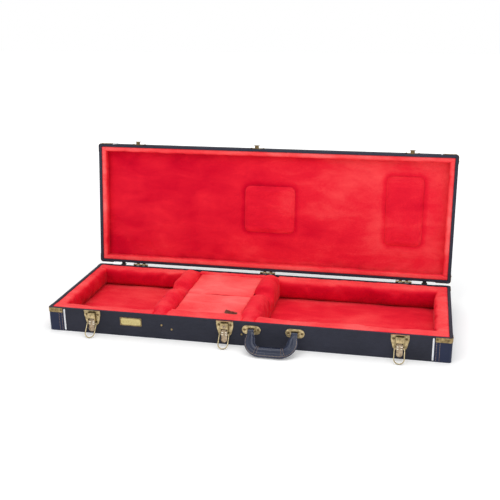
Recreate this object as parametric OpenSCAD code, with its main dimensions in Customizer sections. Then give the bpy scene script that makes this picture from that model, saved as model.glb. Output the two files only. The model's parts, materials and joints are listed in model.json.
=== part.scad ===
// Guitar case: wooden box and lid, cloth covered, with leather ends, three draw
// latches, a leather handle and a padded lining. Millimetres, +Z up, the origin at
// the centre of the flat underside, +X along the length towards the body end.
// The lid stands open.

/* [Overall size] */
// Length over the leather ends
case_length = 1060; // [900:1:1200]
// Width over the leather ends
case_width = 364; // [300:1:420]
// Height of the base from underside to rim
base_height = 66; // [50:1:90]
// Depth of the lid from rim to top
lid_depth = 40; // [30:1:60]
// Angle the lid leans open past closed
lid_open_angle = 97.5; // [80:0.5:110]

/* [Shell] */
// Thickness of the plywood
wood = 6; // [4:0.5:9]
// Thickness of the woven covering
cover = 1; // [0.5:0.1:2]
// Thickness of the leather on the ends
leather = 1; // [0.5:0.1:2]
// Radius of the upright corners of the wood
corner_radius = 5; // [2:0.5:12]
// Distance of the leather edge from the end of the case
leather_band = 42; // [20:1:80]
// Radius of the white piping
piping_radius = 3.2; // [2:0.1:5]
// Gap between the rims of base and lid
rim_gap = 0.4; // [0.3:0.1:1]

/* [Lining] */
// Thickness of the plush on the floor
floor_lining = 3; // [2:0.5:6]
// Thickness of the padding on the rear wall of the headstock compartment
head_rear_pad = 16; // [8:1:30]
// Thickness of the padding on the front wall of the headstock compartment
head_front_pad = 24; // [8:1:36]
// Thickness of the padding on the end wall of the headstock compartment
head_end_pad = 12; // [8:1:30]
// Thickness of the padding around the body compartment
body_pad_depth = 30; // [15:1:45]
// Thickness of the padding on the end wall of the body compartment
body_end_pad = 22; // [10:1:40]
// Thickness of the padding behind the neck panel
neck_rear_pad = 8; // [5:1:20]
// Thickness of the padding in front of the neck panel
neck_front_pad = 36; // [20:1:45]
// Thickness of the padding inside the walls of the lid
lid_wall_pad = 11; // [6:1:20]
// Thickness of the padding under the top of the lid
ceiling_pad = 7; // [3:1:12]

/* [Dividers] */
// Left face of the headstock divider
head_divider_x = -249; // [-300:1:-200]
// Width of the headstock divider
head_divider_width = 54; // [40:1:70]
// Left face of the body divider
body_divider_x = -9; // [-40:1:40]
// Width of the body divider
body_divider_width = 54; // [40:1:70]
// Height of the rounded tops of the dividers
divider_top = 82; // [60:1:85]
// Half length of the raised part of a divider
divider_reach = 158; // [120:1:160]
// Centre of the neck notch across the case
notch_y = 12; // [-20:1:40]
// Radius of the neck notch
notch_radius = 25; // [20:1:32]
// Height of the neck panel and of the bottom of the notch
panel_top = 60; // [40:1:62]
// Line where the accessory lid folds
fold_y = 6; // [-20:1:30]

/* [Lid cushions] */
// Size of the neck cushion along and across the case
neck_cushion = [153, 141];
// Centre of the neck cushion
neck_cushion_at = [-2.5, -1.5];
// Thickness of the neck cushion
neck_cushion_depth = 6; // [3:0.5:9]
// Size of the body cushion along and across the case
body_cushion = [108, 203];
// Centre of the body cushion
body_cushion_at = [389, -14.5];
// Thickness of the body cushion
body_cushion_depth = 8; // [3:0.5:10]

/* [Lid hinges] */
// Distance of the outer hinges from the centre
hinge_x = 399; // [300:1:470]
// Width of a hinge
hinge_width = 46; // [30:1:70]
// Distance of the hinge axis behind the rear face
hinge_back = 5; // [4:0.1:8]
// Height of the hinge axis above the base rim
hinge_rise = 1.2; // [0.5:0.1:3]
// Radius of the hinge knuckles
knuckle_radius = 2.8; // [2:0.1:4]
// Radius of the hinge pin
hinge_pin_radius = 1.2; // [0.8:0.1:2]
// Distance of the lid stops from the centre
stop_x = 458; // [420:1:475]

/* [Latches] */
// Positions of the three latches along the case
latch_x = [-404, -40, 404];
// Width of a latch plate
latch_width = 45; // [36:1:56]
// Width of a latch housing
housing_width = 20; // [16:1:26]
// Height of the lever axis
lever_z = 39.5; // [34:0.5:44]
// Distance of the lever axis from the latch plate
lever_out = 5; // [4:0.1:7]
// Radius of the lever pin
lever_pin_radius = 1.5; // [1:0.1:2]
// Height of the bail axis
bail_z = 32; // [26:0.5:34]
// Distance of the bail axis from the latch plate
bail_out = 6; // [5:0.1:8]
// Radius of the bail wire
wire_radius = 1.5; // [1:0.1:2]
// Radius of the small bends of the wire
wire_bend_radius = 2.5; // [2:0.1:4]
// Length of the bail from its axis to the middle of its round end
bail_length = 39.7; // [34:0.1:46]
// Half distance between the arms of the bail
bail_half = 12.75; // [11:0.25:16]
// Radial play of the pins and bails in their bores
play = 0.05; // [0.01:0.01:0.1]

/* [Lock] */
// Height of the lock
lock_z = 52.7; // [50:0.1:55]
// Radius of the lock plug
plug_radius = 4.2; // [3:0.1:5]
// Travel of the lock bolt
bolt_travel = 3; // [2:0.1:4]

/* [Handle] */
// Centre of the handle along the case
handle_x = 86.3; // [60:0.1:110]
// Half distance between the handle loops
handle_half = 56.4; // [40:0.1:75]
// Height of the handle axis
handle_z = 46.4; // [40:0.1:50]
// Distance of the handle axis from the handle plates
handle_out = 5.2; // [4:0.1:7]
// Radius of the handle pins
handle_pin_radius = 1.6; // [1:0.1:2.5]
// Width of the handle strap at its loops
strap_width = 16; // [10:1:22]
// Width of the handle strap in its bends and in the grip
grip_width = 28; // [20:1:34]
// Inner radius of the bends of the strap
bend_radius = 16; // [8:1:24]
// Thickness of the handle strap
strap_thickness = 5; // [3:0.5:8]
// Distance of the far edge of the grip from the handle axis
grip_reach = 72; // [60:1:90]
// Length of the grip sleeve
sleeve_length = 72; // [50:1:90]
// Depth of the grip sleeve across the hand
sleeve_depth = 30; // [20:1:40]
// Thickness of the grip sleeve
sleeve_thickness = 16; // [12:1:24]
// Angle of the hanging handle from straight down
handle_angle = 54.2; // [0:0.1:90]

/* [Hardware] */
// Thickness of the brass plates
plate = 1.4; // [0.8:0.1:2]
// Height of the corner brackets
bracket_height = 12.5; // [8:0.5:20]
// Length of a corner bracket along the case
bracket_long = 42; // [25:1:60]
// Length of a corner bracket across the end
bracket_short = 25; // [15:1:40]
// Thickness of the corner brackets
bracket_thickness = 1; // [0.6:0.1:2]
// Radius of the plate rivets
rivet_radius = 3.2; // [2:0.1:4]
// Height of the rivet heads
rivet_height = 1.8; // [1:0.1:2.5]
// Size of the name plate
name_plate_size = [60, 22.7];
// Centre of the name plate
name_plate_at = [-296.5, 41.9];

/* [Node] */
// Piece to draw

/* [Hidden] */
$fn = 64;
e = 0.01;

half_l = case_length / 2;
half_w = case_width / 2;
cover_l = half_l - leather;
cover_w = half_w - leather;
wood_l = cover_l - cover;
wood_w = cover_w - cover;
in_l = wood_l - wood;
in_w = wood_w - wood;
cover_corner = corner_radius + cover;
leather_corner = cover_corner + leather;
joint_gap = 0.2;

panel_z = cover + wood;
floor_z = panel_z + floor_lining;
rim_z = base_height;
lid_z = rim_z + rim_gap;
lid_top = lid_z + lid_depth;
ceiling_z = lid_top - cover - wood - ceiling_pad;
hinge_y = cover_w + hinge_back;
hinge_z = rim_z + hinge_rise;

leather_x = half_l - leather_band;
piping_x = leather_x - piping_radius - 0.3;
shelf = 5;

plate_y = -cover_w - plate;
lever_y = plate_y - lever_out;
bail_y = plate_y - bail_out;
housing_y = plate_y - 8;
cheek = 1.4;
bail_rest = acos((bail_z - wire_radius - 0.3) / bail_length);
crank = bolt_travel / 2 * sqrt(2);
handle_y = plate_y - handle_out;
ear_half = strap_width / 2 + 1.2;

// Block with rounded upright corners, centred on x and y
module round_block(hx, hy, z0, z1, r) {
    translate([-hx + r, -hy, z0]) cube([2 * hx - 2 * r, 2 * hy, z1 - z0]);
    translate([-hx, -hy + r, z0]) cube([2 * hx, 2 * hy - 2 * r, z1 - z0]);
    for (sx = [-1, 1], sy = [-1, 1])
        translate([sx * (hx - r), sy * (hy - r), z0]) cylinder(r = r, h = z1 - z0);
}

// Box from one corner to the other
module box(a, b) {
    translate(a) cube(b - a);
}

// Upright ring between two rounded outlines
module ring(hx, hy, t, z0, z1, r) {
    difference() {
        round_block(hx, hy, z0, z1, r);
        round_block(hx - t, hy - t, z0 - e, z1 + e, r - t);
    }
}

// Rod along x, y or z from a point
module rod_x(p, h, r) {
    translate(p) rotate([0, 90, 0]) cylinder(r = r, h = h);
}

module rod_y(p, h, r) {
    translate(p) rotate([-90, 0, 0]) cylinder(r = r, h = h);
}

// Domed rivet on a front face, its shank reaching back through a plate
module front_rivet(x, y, z, r, h, shank) {
    big = (r * r + h * h) / (2 * h);
    intersection() {
        translate([x, y + big - h, z]) sphere(r = big);
        box([x - r - 1, y - h - 1, z - r - 1], [x + r + 1, y, z + r + 1]);
    }
    if (shank > 0) rod_y([x, y - e, z], shank + e, r * 0.45);
}

// Places a piece of the closed lid in its open position
module lid_place() {
    translate([0, hinge_y, hinge_z]) rotate([-lid_open_angle, 0, 0])
        translate([0, -hinge_y, -hinge_z]) children();
}

// ---- wooden shell ----

module base_floor_panel() {
    color("BurlyWood") round_block(wood_l, wood_w, cover, panel_z, corner_radius);
}

// Four walls between two heights, the long ones running past the short ones
module walls(z0, z1) {
    intersection() {
        round_block(wood_l, wood_w, z0, z1, corner_radius);
        union() {
            for (s = [-1, 1]) {
                translate([-wood_l, s > 0 ? in_w : -wood_w, z0])
                    cube([2 * wood_l, wood, z1 - z0]);
                translate([s > 0 ? in_l : -wood_l, -in_w + joint_gap, z0])
                    cube([wood, 2 * in_w - 2 * joint_gap, z1 - z0]);
            }
        }
    }
}

module base_walls() {
    color("BurlyWood") walls(panel_z, rim_z - cover);
}

module lid_top_panel() {
    color("BurlyWood") lid_place()
        round_block(wood_l, wood_w, lid_top - cover - wood, lid_top - cover, corner_radius);
}

module lid_walls() {
    color("BurlyWood") lid_place() walls(lid_z + cover, lid_top - cover - wood);
}

// ---- covering ----

// Woven skin of the sides, turned over the rim
module side_cover(z0, z1, rim0, rim1) {
    ring(cover_l, cover_w, cover, z0, z1, cover_corner);
    difference() {
        round_block(cover_l - e, cover_w - e, rim0, rim1, cover_corner);
        box([-in_l, -in_w, rim0 - 1], [in_l, in_w, rim1 + 1]);
    }
}

module base_bottom_cover() {
    color("DarkSlateBlue") round_block(cover_l, cover_w, 0, cover, cover_corner);
}

module base_side_cover() {
    color("DarkSlateBlue") side_cover(cover, rim_z, rim_z - cover, rim_z);
}

module lid_top_cover() {
    color("DarkSlateBlue") lid_place()
        round_block(cover_l, cover_w, lid_top - cover, lid_top, cover_corner);
}

module lid_side_cover() {
    color("DarkSlateBlue") lid_place()
        side_cover(lid_z, lid_top - cover, lid_z, lid_z + cover);
}

// ---- leather ends and piping ----

// The two ends of a solid, beyond a distance from the centre
module both_ends(x, z0, z1) {
    intersection() {
        children();
        for (s = [-1, 1])
            translate([s > 0 ? x : -half_l - 9, -half_w - 9, z0])
                cube([half_l + 9 - x, case_width + 18, z1 - z0]);
    }
}

module base_leather_ends() {
    color("MidnightBlue") both_ends(leather_x, 0, rim_z)
        ring(half_l, half_w, leather, 0.4, rim_z - 0.1, leather_corner);
}

module lid_leather_ends() {
    color("MidnightBlue") lid_place() both_ends(leather_x, lid_z, lid_top + leather)
        difference() {
            round_block(half_l, half_w, lid_z, lid_top + leather, leather_corner);
            round_block(cover_l, cover_w, lid_z - 1, lid_top, cover_corner);
        }
}

module base_piping() {
    color("Ivory") difference() {
        for (sx = [-1, 1], sy = [-1, 1])
            translate([sx * piping_x, sy * cover_w, 0.4])
                cylinder(r = piping_radius, h = rim_z - 0.5);
        box([-cover_l, -cover_w, -1], [cover_l, cover_w, rim_z + 1]);
    }
}

module lid_piping() {
    color("Ivory") lid_place() difference() {
        for (sx = [-1, 1]) {
            for (sy = [-1, 1]) {
                translate([sx * piping_x, sy * cover_w, lid_z])
                    cylinder(r = piping_radius, h = lid_top - lid_z);
                translate([sx * piping_x, sy * cover_w, lid_top]) sphere(r = piping_radius);
            }
            rod_y([sx * piping_x, -cover_w, lid_top], 2 * cover_w, piping_radius);
        }
        box([-cover_l, -cover_w, lid_z - 1], [cover_l, cover_w, lid_top]);
    }
}

// ---- corner brackets ----

// Four angled straps around the upright corners
module brackets(z) {
    intersection() {
        ring(half_l + bracket_thickness, half_w + bracket_thickness, bracket_thickness,
            z, z + bracket_height, leather_corner + bracket_thickness);
        for (sx = [-1, 1], sy = [-1, 1]) {
            translate([sx > 0 ? half_l - bracket_long + 1 : -half_l - 9,
                       sy > 0 ? half_w - bracket_short : -half_w - 9, z - 1])
                cube([bracket_long + 8, bracket_short + 9, bracket_height + 2]);
        }
    }
}

// Rivet heads on the straps
module bracket_rivets(z) {
    for (sx = [-1, 1], a = [0, 180]) rotate([0, 0, a]) {
        for (x = [half_l - bracket_long + 6, half_l - 11])
            front_rivet(sx * x, -half_w - bracket_thickness, z, 2.4, 1.3, 0);
        translate([sx * (half_l + bracket_thickness), -half_w + bracket_short - 6, z])
            rotate([0, 0, sx * 90]) front_rivet(0, 0, 0, 2.4, 1.3, 0);
    }
}

module base_corner_brackets() {
    color("Goldenrod") brackets(rim_z - 0.1 - bracket_height);
}

module base_bracket_rivets() {
    color("Gold") bracket_rivets(rim_z - 0.1 - bracket_height / 2);
}

module lid_corner_brackets() {
    color("Goldenrod") lid_place() brackets(lid_z + 0.1);
}

module lid_bracket_rivets() {
    color("Gold") lid_place() bracket_rivets(lid_z + 0.1 + bracket_height / 2);
}

// ---- lining of the base ----

head_end = head_divider_x;
neck_start = head_divider_x + head_divider_width;
neck_end = body_divider_x;
body_start = body_divider_x + body_divider_width;
pad_top = rim_z - 0.2;

module floor_plush() {
    color("Crimson") {
        box([-in_l, -in_w, panel_z], [head_end - joint_gap, in_w, floor_z]);
        box([neck_start + joint_gap, -in_w, panel_z],
            [neck_end - joint_gap, in_w, floor_z]);
        box([body_start + joint_gap, -in_w, panel_z], [in_l, in_w, floor_z]);
    }
}

module head_wall_pads() {
    g = joint_gap;
    color("IndianRed") {
        box([-in_l + g, -in_w + g, floor_z], [head_end - g, -in_w + head_front_pad, pad_top]);
        box([-in_l + g, in_w - head_rear_pad, floor_z], [head_end - g, in_w - g, pad_top]);
        box([-in_l + g, -in_w + head_front_pad + g, floor_z],
            [-in_l + head_end_pad, in_w - head_rear_pad - g, pad_top]);
    }
}

module neck_wall_pads() {
    g = joint_gap;
    color("IndianRed") {
        box([neck_start + g, -in_w + g, floor_z],
            [neck_end - g, -in_w + neck_front_pad, pad_top]);
        box([neck_start + g, in_w - neck_rear_pad, floor_z], [neck_end - g, in_w - g, pad_top]);
    }
}

module body_wall_pads() {
    g = joint_gap;
    color("IndianRed") {
        box([body_start + g, -in_w + g, floor_z], [in_l - g, -in_w + body_pad_depth, pad_top]);
        box([body_start + g, in_w - body_pad_depth, floor_z], [in_l - g, in_w - g, pad_top]);
        box([in_l - body_end_pad, -in_w + body_pad_depth + g, floor_z],
            [in_l - g, in_w - body_pad_depth - g, pad_top]);
    }
}

// Board inside a divider
module divider_core(x, width) {
    difference() {
        box([x + width / 2 - 8, -in_w + 1, panel_z], [x + width / 2 + 8, in_w - 1, panel_top - 6]);
        notch_cut(x, width, notch_radius + 5);
    }
}

// Space for the neck across a divider
module notch_cut(x, width, r) {
    rod_x([x - 1, notch_y, panel_top + notch_radius], width + 2, r);
    box([x - 1, notch_y - r, panel_top + notch_radius], [x + width + 1, notch_y + r, 99]);
}

// Padded roll around a divider board, round on top
module divider_pad(x, width) {
    r = width / 2;
    shoulder = divider_top - r;
    difference() {
        union() {
            box([x, -in_w + joint_gap, panel_z], [x + width, in_w - joint_gap, shoulder]);
            rod_y([x + r, -divider_reach + r, shoulder], 2 * (divider_reach - r), r);
            for (s = [-1, 1]) translate([x + r, s * (divider_reach - r), shoulder]) sphere(r = r);
        }
        notch_cut(x, width, notch_radius);
        divider_core(x, width);
    }
}

module head_divider_core() {
    color("BurlyWood") divider_core(head_divider_x, head_divider_width);
}

module head_divider_pad() {
    color("Crimson") divider_pad(head_divider_x, head_divider_width);
}

module body_divider_core() {
    color("BurlyWood") divider_core(body_divider_x, body_divider_width);
}

module body_divider_pad() {
    color("Crimson") divider_pad(body_divider_x, body_divider_width);
}

// ---- neck panel and accessory box ----

board_z = panel_top - 2 * shelf;
fold_gap = 0.3;

module neck_panel_board() {
    color("BurlyWood") box([neck_start + 0.5, fold_y + fold_gap, board_z],
        [neck_end - 0.5, in_w - neck_rear_pad - joint_gap, board_z + shelf]);
}

module neck_panel_pad() {
    color("LightCoral") box([neck_start + 0.5, fold_y + fold_gap, board_z + shelf],
        [neck_end - 0.5, in_w - neck_rear_pad - joint_gap, panel_top]);
}

module accessory_wall() {
    color("Firebrick") box([neck_start + 0.5, fold_y + 1, floor_z],
        [neck_end - 0.5, fold_y + 6, board_z]);
}

module accessory_ledge() {
    color("Firebrick") box([neck_start + 0.5, -in_w + neck_front_pad, board_z - 5],
        [neck_end - 0.5, -in_w + neck_front_pad + 6, board_z - 0.3]);
}

module accessory_lid_board() {
    color("BurlyWood") box([neck_start + 0.6, -in_w + neck_front_pad + 0.6, board_z],
        [neck_end - 0.6, fold_y - fold_gap, board_z + shelf]);
}

module accessory_lid_pad() {
    color("LightCoral") box([neck_start + 0.6, -in_w + neck_front_pad + 0.6, board_z + shelf],
        [neck_end - 0.6, fold_y - fold_gap, panel_top]);
}

module pull_tab() {
    color("SaddleBrown") box([neck_end - 46, -in_w + neck_front_pad + 7, panel_top],
        [neck_end - 13, -in_w + neck_front_pad + 32, panel_top + 2]);
}

// ---- lining of the lid ----

module lid_ceiling_pad() {
    color("Crimson") lid_place()
        box([-in_l, -in_w, ceiling_z], [in_l, in_w, ceiling_z + ceiling_pad]);
}

module lid_wall_pads() {
    g = joint_gap;
    z0 = lid_z + 1.6;
    color("IndianRed") lid_place() {
        for (s = [-1, 1]) {
            translate([-in_l + g, s > 0 ? in_w - lid_wall_pad : -in_w + g, z0])
                cube([2 * in_l - 2 * g, lid_wall_pad - g, ceiling_z - z0]);
            translate([s > 0 ? in_l - lid_wall_pad : -in_l + g, -in_w + lid_wall_pad + g, z0])
                cube([lid_wall_pad - g, 2 * (in_w - lid_wall_pad - g), ceiling_z - z0]);
        }
    }
}

// Flat cushion under the top of the lid
module cushion(size, at, depth) {
    lid_place() translate([at[0], at[1], 0])
        round_block(size[0] / 2, size[1] / 2, ceiling_z - depth, ceiling_z, 15);
}

module lid_neck_cushion() {
    color("Red") cushion(neck_cushion, neck_cushion_at, neck_cushion_depth);
}

module lid_body_cushion() {
    color("Red") cushion(body_cushion, body_cushion_at, body_cushion_depth);
}

// ---- hinges and stops ----

knuckle = hinge_width / 5;

// Knuckles of one leaf with their bores, counted from the left
module knuckles(which) {
    difference() {
        for (k = which)
            rod_x([-hinge_width / 2 + k * knuckle + 0.2, hinge_y, hinge_z],
                knuckle - 0.4, knuckle_radius);
        rod_x([-hinge_width, hinge_y, hinge_z], 2 * hinge_width, hinge_pin_radius + play);
    }
}

module at_hinges() {
    for (x = [-hinge_x, 0, hinge_x]) translate([x, 0, 0]) children();
}

module hinge_base_leaves() {
    color("Goldenrod") at_hinges() {
        knuckles([0, 2, 4]);
        box([-hinge_width / 2, cover_w, 42], [hinge_width / 2, cover_w + 1.2, rim_z - 1.5]);
        for (k = [0, 2, 4])
            translate([-hinge_width / 2 + k * knuckle + 0.2, cover_w + 1, rim_z - 3.3])
                cube([knuckle - 0.4, hinge_back - 1, 2.1]);
    }
}

module hinge_lid_leaves() {
    color("Goldenrod") lid_place() at_hinges() {
        knuckles([1, 3]);
        box([-hinge_width / 2, cover_w, lid_z + 3], [hinge_width / 2, cover_w + 1.2, lid_z + 23]);
        for (k = [1, 3])
            translate([-hinge_width / 2 + k * knuckle + 0.2, cover_w + 1, lid_z + 3])
                cube([knuckle - 0.4, hinge_back - 1, 2.1]);
    }
}

module hinge_pins() {
    color("Gold") at_hinges()
        rod_x([-hinge_width / 2 + 0.2, hinge_y, hinge_z], hinge_width - 0.4, hinge_pin_radius);
}

module lid_stops() {
    color("Goldenrod") for (s = [-1, 1]) translate([s * stop_x, 0, 0]) {
        box([-8, cover_w, 42], [8, cover_w + 1.4, 63.6]);
        box([-8, cover_w + 1, 62], [8, cover_w + 20, 63.6]);
    }
}

module stop_buttons() {
    color("DimGray") for (s = [-1, 1])
        translate([s * stop_x, cover_w + 14, 63.6]) cylinder(r = 5.5, h = 6.2);
}

// ---- latches ----

module at_latches() {
    for (x = latch_x) translate([x, 0, 0]) children();
}

// Shield outline of a latch plate, narrowing to a rounded foot
module latch_shield() {
    h = latch_width / 2;
    polygon([[-h, rim_z - 0.2], [-h, 52], [-h + 1.5, 46], [-18, 34], [-17, 30], [-12, 25.5],
        [-6, 24], [6, 24], [12, 25.5], [17, 30], [18, 34], [h - 1.5, 46], [h, 52],
        [h, rim_z - 0.2]]);
}

// Housing that carries the lever pin
module latch_housing() {
    h = housing_width / 2;
    for (s = [-1, 1]) translate([s > 0 ? h - cheek : -h, 0, 0]) {
        rod_x([0, lever_y, lever_z], cheek, -housing_y + lever_y);
        translate([0, lever_y, lever_z + housing_y - lever_y])
            cube([cheek, lever_out + e, 61 - lever_z - housing_y + lever_y]);
        translate([0, housing_y, lever_z]) cube([cheek, plate_y - housing_y + e, 61 - lever_z]);
    }
    box([-h, housing_y, 46], [h, housing_y + cheek, 61]);
    box([-h, housing_y, 61 - cheek], [h, plate_y + e, 61]);
}

module latch_plates() {
    color("DarkGoldenrod") difference() {
        at_latches() difference() {
            union() {
                translate([0, -cover_w, 0]) rotate([90, 0, 0])
                    linear_extrude(plate) latch_shield();
                box([-latch_width / 2, plate_y - 2, rim_z - 1.8],
                    [latch_width / 2, plate_y + e, rim_z - 0.2]);
                latch_housing();
            }
            rod_x([-housing_width, lever_y, lever_z], 2 * housing_width, lever_pin_radius);
            for (s = [-1, 1])
                rod_y([s * 16, plate_y - 1, 55], plate + 2, rivet_radius * 0.45 + 0.02);
        }
        rod_y([latch_x[1], housing_y - 1, lock_z], cheek + 2, plug_radius + play);
    }
}

module latch_pins() {
    color("Gold") at_latches()
        rod_x([-housing_width / 2, lever_y, lever_z], housing_width, lever_pin_radius);
}

module latch_rivets() {
    color("Gold") at_latches() for (s = [-1, 1])
        front_rivet(s * 16, plate_y, 55, rivet_radius, rivet_height, plate);
}

// Lever hanging closed: barrel, neck, bail boss and finger tab
module lever() {
    h = housing_width / 2;
    n = h - cheek - 0.4;
    color("Khaki") difference() {
        union() {
            rod_x([-n, lever_y, lever_z], 2 * n, 2.9);
            box([-6, lever_y - 1.2, lever_z], [6, lever_y + 1.2, lever_z + 4.3]);
            box([-n, lever_y - 2.6, lever_z - 6.5], [n, lever_y + 1.4, lever_z]);
            rod_x([-h, bail_y, bail_z], 2 * h, 2.9);
            box([-h, bail_y - 2.2, bail_z - 3.4], [h, bail_y + 1.6, bail_z + 2.2]);
            translate([0, bail_y, bail_z - 3]) rotate([-12, 0, 0]) {
                box([-8, -1.4, -11], [8, 1, 0.5]);
                rod_y([0, -1.4, -11], 2.4, 8);
            }
        }
        rod_x([-n - 1, lever_y, lever_z], 2 * n + 2, lever_pin_radius + play);
        for (s = [-1, 1])
            rod_x([s > 0 ? h - 4.5 : -h - 1, bail_y, bail_z], 5.5, wire_radius + play);
    }
}

module lever_left() {
    translate([latch_x[0], 0, 0]) lever();
}

module lever_middle() {
    translate([latch_x[1], 0, 0]) lever();
}

module lever_right() {
    translate([latch_x[2], 0, 0]) lever();
}

// Bend of wire in the xz plane about a centre, from an angle on
module wire_bend(x, z, radius, from, turn) {
    translate([x, 0, z]) rotate([90, 0, 0]) rotate([0, 0, from])
        rotate_extrude(angle = turn) translate([radius, 0]) circle(r = wire_radius);
}

// Wire loop with a round end, hanging forward from the lever to the floor
module bail() {
    b = wire_bend_radius;
    tip = housing_width / 2 - 4;
    color("Silver") translate([0, bail_y, bail_z]) rotate([-bail_rest, 0, 0]) {
        for (s = [0, 1]) mirror([s, 0, 0]) {
            rod_x([tip, 0, 0], bail_half - b - tip, wire_radius);
            wire_bend(bail_half - b, -b, b, 0, 90);
            translate([bail_half, 0, bail_half - bail_length])
                cylinder(r = wire_radius, h = bail_length - bail_half - b);
        }
        wire_bend(0, bail_half - bail_length, bail_half, 180, 180);
    }
}

module bail_left() {
    translate([latch_x[0], 0, 0]) bail();
}

module bail_middle() {
    translate([latch_x[1], 0, 0]) bail();
}

module bail_right() {
    translate([latch_x[2], 0, 0]) bail();
}

// Hooks on the lid: the bail drops behind the lip onto the narrow shelf
module keepers() {
    color("DarkGoldenrod") lid_place() at_latches() difference() {
        union() {
            box([-14, plate_y, lid_z + 0.4], [14, -cover_w, lid_z + 18]);
            box([-22, plate_y, lid_z + 8], [22, -cover_w, lid_z + 18]);
            box([-6, plate_y - 9, lid_z + 0.4], [6, plate_y + e, lid_z + 1.6]);
            box([-9, plate_y - 9, lid_z + 0.4], [9, plate_y - 7.8, lid_z + 7]);
        }
        for (s = [-1, 1])
            rod_y([s * 17.5, plate_y - 1, lid_z + 13], plate + 2, 1.17);
    }
}

module keeper_rivets() {
    color("Gold") lid_place() at_latches() for (s = [-1, 1])
        front_rivet(s * 17.5, plate_y, lid_z + 13, 2.55, 1.5, plate);
}

// ---- lock ----

module lock_plug() {
    color("Gold") translate([latch_x[1], 0, lock_z]) difference() {
        union() {
            rod_y([0, housing_y - 0.4, 0], 4.4, plug_radius);
            rod_y([crank / sqrt(2), housing_y + 3.9, crank / sqrt(2)], 3, 0.8);
        }
        box([-0.6, housing_y - 1, -2.6], [0.6, housing_y + 1.6, 1.2]);
        rod_y([0, housing_y - 1, 1.4], 2.6, 1.3);
    }
}

module lock_bolt() {
    bolt_z = lever_z + 2.9 + bolt_travel;
    color("Gold") translate([latch_x[1], plate_y - 3, 0]) difference() {
        box([-8.2, 0, bolt_z], [8.2, 2.4, bolt_z + 12]);
        box([-0.9, -1, lock_z + crank / sqrt(2) - 1.2], [4.6, 4, lock_z + crank / sqrt(2) + 1.2]);
    }
}

// ---- handle ----

module at_loops() {
    for (s = [-1, 1]) translate([handle_x + s * handle_half, 0, 0]) children();
}

module handle_plates() {
    color("DarkGoldenrod") at_loops() difference() {
        union() {
            for (s = [-1, 1]) rod_y([s * 12.5, plate_y, handle_z], plate, 12);
            box([-12.5, plate_y, handle_z - 12], [12.5, plate_y + plate, handle_z + 12]);
            for (s = [-1, 1]) translate([s * ear_half - 0.8, 0, 0]) {
                rod_x([0, handle_y, handle_z], 1.6, 4);
                translate([0, handle_y, handle_z - 4]) cube([1.6, handle_out + e, 8]);
            }
        }
        rod_x([-ear_half - 2, handle_y, handle_z], 2 * ear_half + 4, handle_pin_radius);
        for (s = [-1, 1])
            rod_y([s * 18, plate_y - 1, handle_z], plate + 2, rivet_radius * 0.45 + 0.02);
    }
}

module handle_pins() {
    color("Gold") at_loops()
        rod_x([-ear_half - 0.8, handle_y, handle_z], 2 * ear_half + 1.6, handle_pin_radius);
}

module handle_rivets() {
    color("Gold") at_loops() for (s = [-1, 1])
        front_rivet(s * 18, plate_y, handle_z, rivet_radius, rivet_height, plate);
}

// Places a handle piece drawn hanging straight down from its axis
module handle_place() {
    translate([handle_x, handle_y, handle_z]) rotate([-handle_angle, 0, 0]) children();
}

// Outline of the strap: two tapered legs, two bends and the bar in the grip
module strap_outline() {
    w = strap_width / 2;
    outer = bend_radius + grip_width;
    cx = handle_half + w + 4 - outer;
    cz = outer - grip_reach;
    difference() {
        union() {
            translate([-cx, -grip_reach]) square([2 * cx, outer + 4]);
            for (s = [-1, 1]) {
                translate([s * cx, cz]) circle(r = outer, $fn = 96);
                polygon([[s * (handle_half - w), 0], [s * (handle_half + w), 0],
                    [s * (handle_half + w), -8], [s * (cx + outer), cz],
                    [s * (cx + bend_radius), cz - 2], [s * (handle_half - w), -10]]);
            }
        }
        for (s = [-1, 1]) translate([s * cx, cz]) circle(r = bend_radius);
        translate([-cx, -grip_reach + grip_width]) square([2 * cx, 2 * outer]);
        polygon([[-handle_half + w, 9], [-handle_half + w, -10], [-cx - bend_radius, cz],
            [-cx, cz - 1], [cx, cz - 1], [cx + bend_radius, cz], [handle_half - w, -10],
            [handle_half - w, 9]]);
        translate([-2 * outer, 0]) square([4 * outer, outer]);
        for (s = [-1, 1])
            polygon([[s * (handle_half + w), 1], [s * (handle_half + w), -8],
                [s * (cx + outer), cz], [s * (cx + outer + 9), cz], [s * (cx + outer + 9), 1]]);
    }
}

// Strap in the plane of the handle
module strap() {
    rotate([90, 0, 0]) translate([0, 0, -strap_thickness / 2])
        linear_extrude(strap_thickness) strap_outline();
}

module handle_strap() {
    color("MidnightBlue") handle_place() difference() {
        union() {
            strap();
            for (s = [-1, 1])
                rod_x([s * handle_half - strap_width / 2, 0, 0], strap_width,
                    handle_pin_radius + 2.6);
        }
        rod_x([-handle_half - 20, 0, 0], 2 * handle_half + 40, handle_pin_radius + play);
    }
}

module handle_sleeve() {
    h = sleeve_length / 2;
    r = sleeve_thickness / 2;
    mid = grip_width / 2 - grip_reach;
    d = sleeve_depth / 2 - r;
    color("MidnightBlue") handle_place() difference() {
        union() {
            for (s = [-1, 1]) rod_x([-h, 0, mid + s * d], 2 * h, r);
            box([-h, -r, mid - d], [h, r, mid + d]);
        }
        strap();
    }
}

// ---- trim ----

module name_plate() {
    w = name_plate_size[0] / 2;
    h = name_plate_size[1] / 2;
    color("Gold") translate([name_plate_at[0], -cover_w, name_plate_at[1]])
        box([-w, -1, -h], [w, 0, h]);
}

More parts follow.
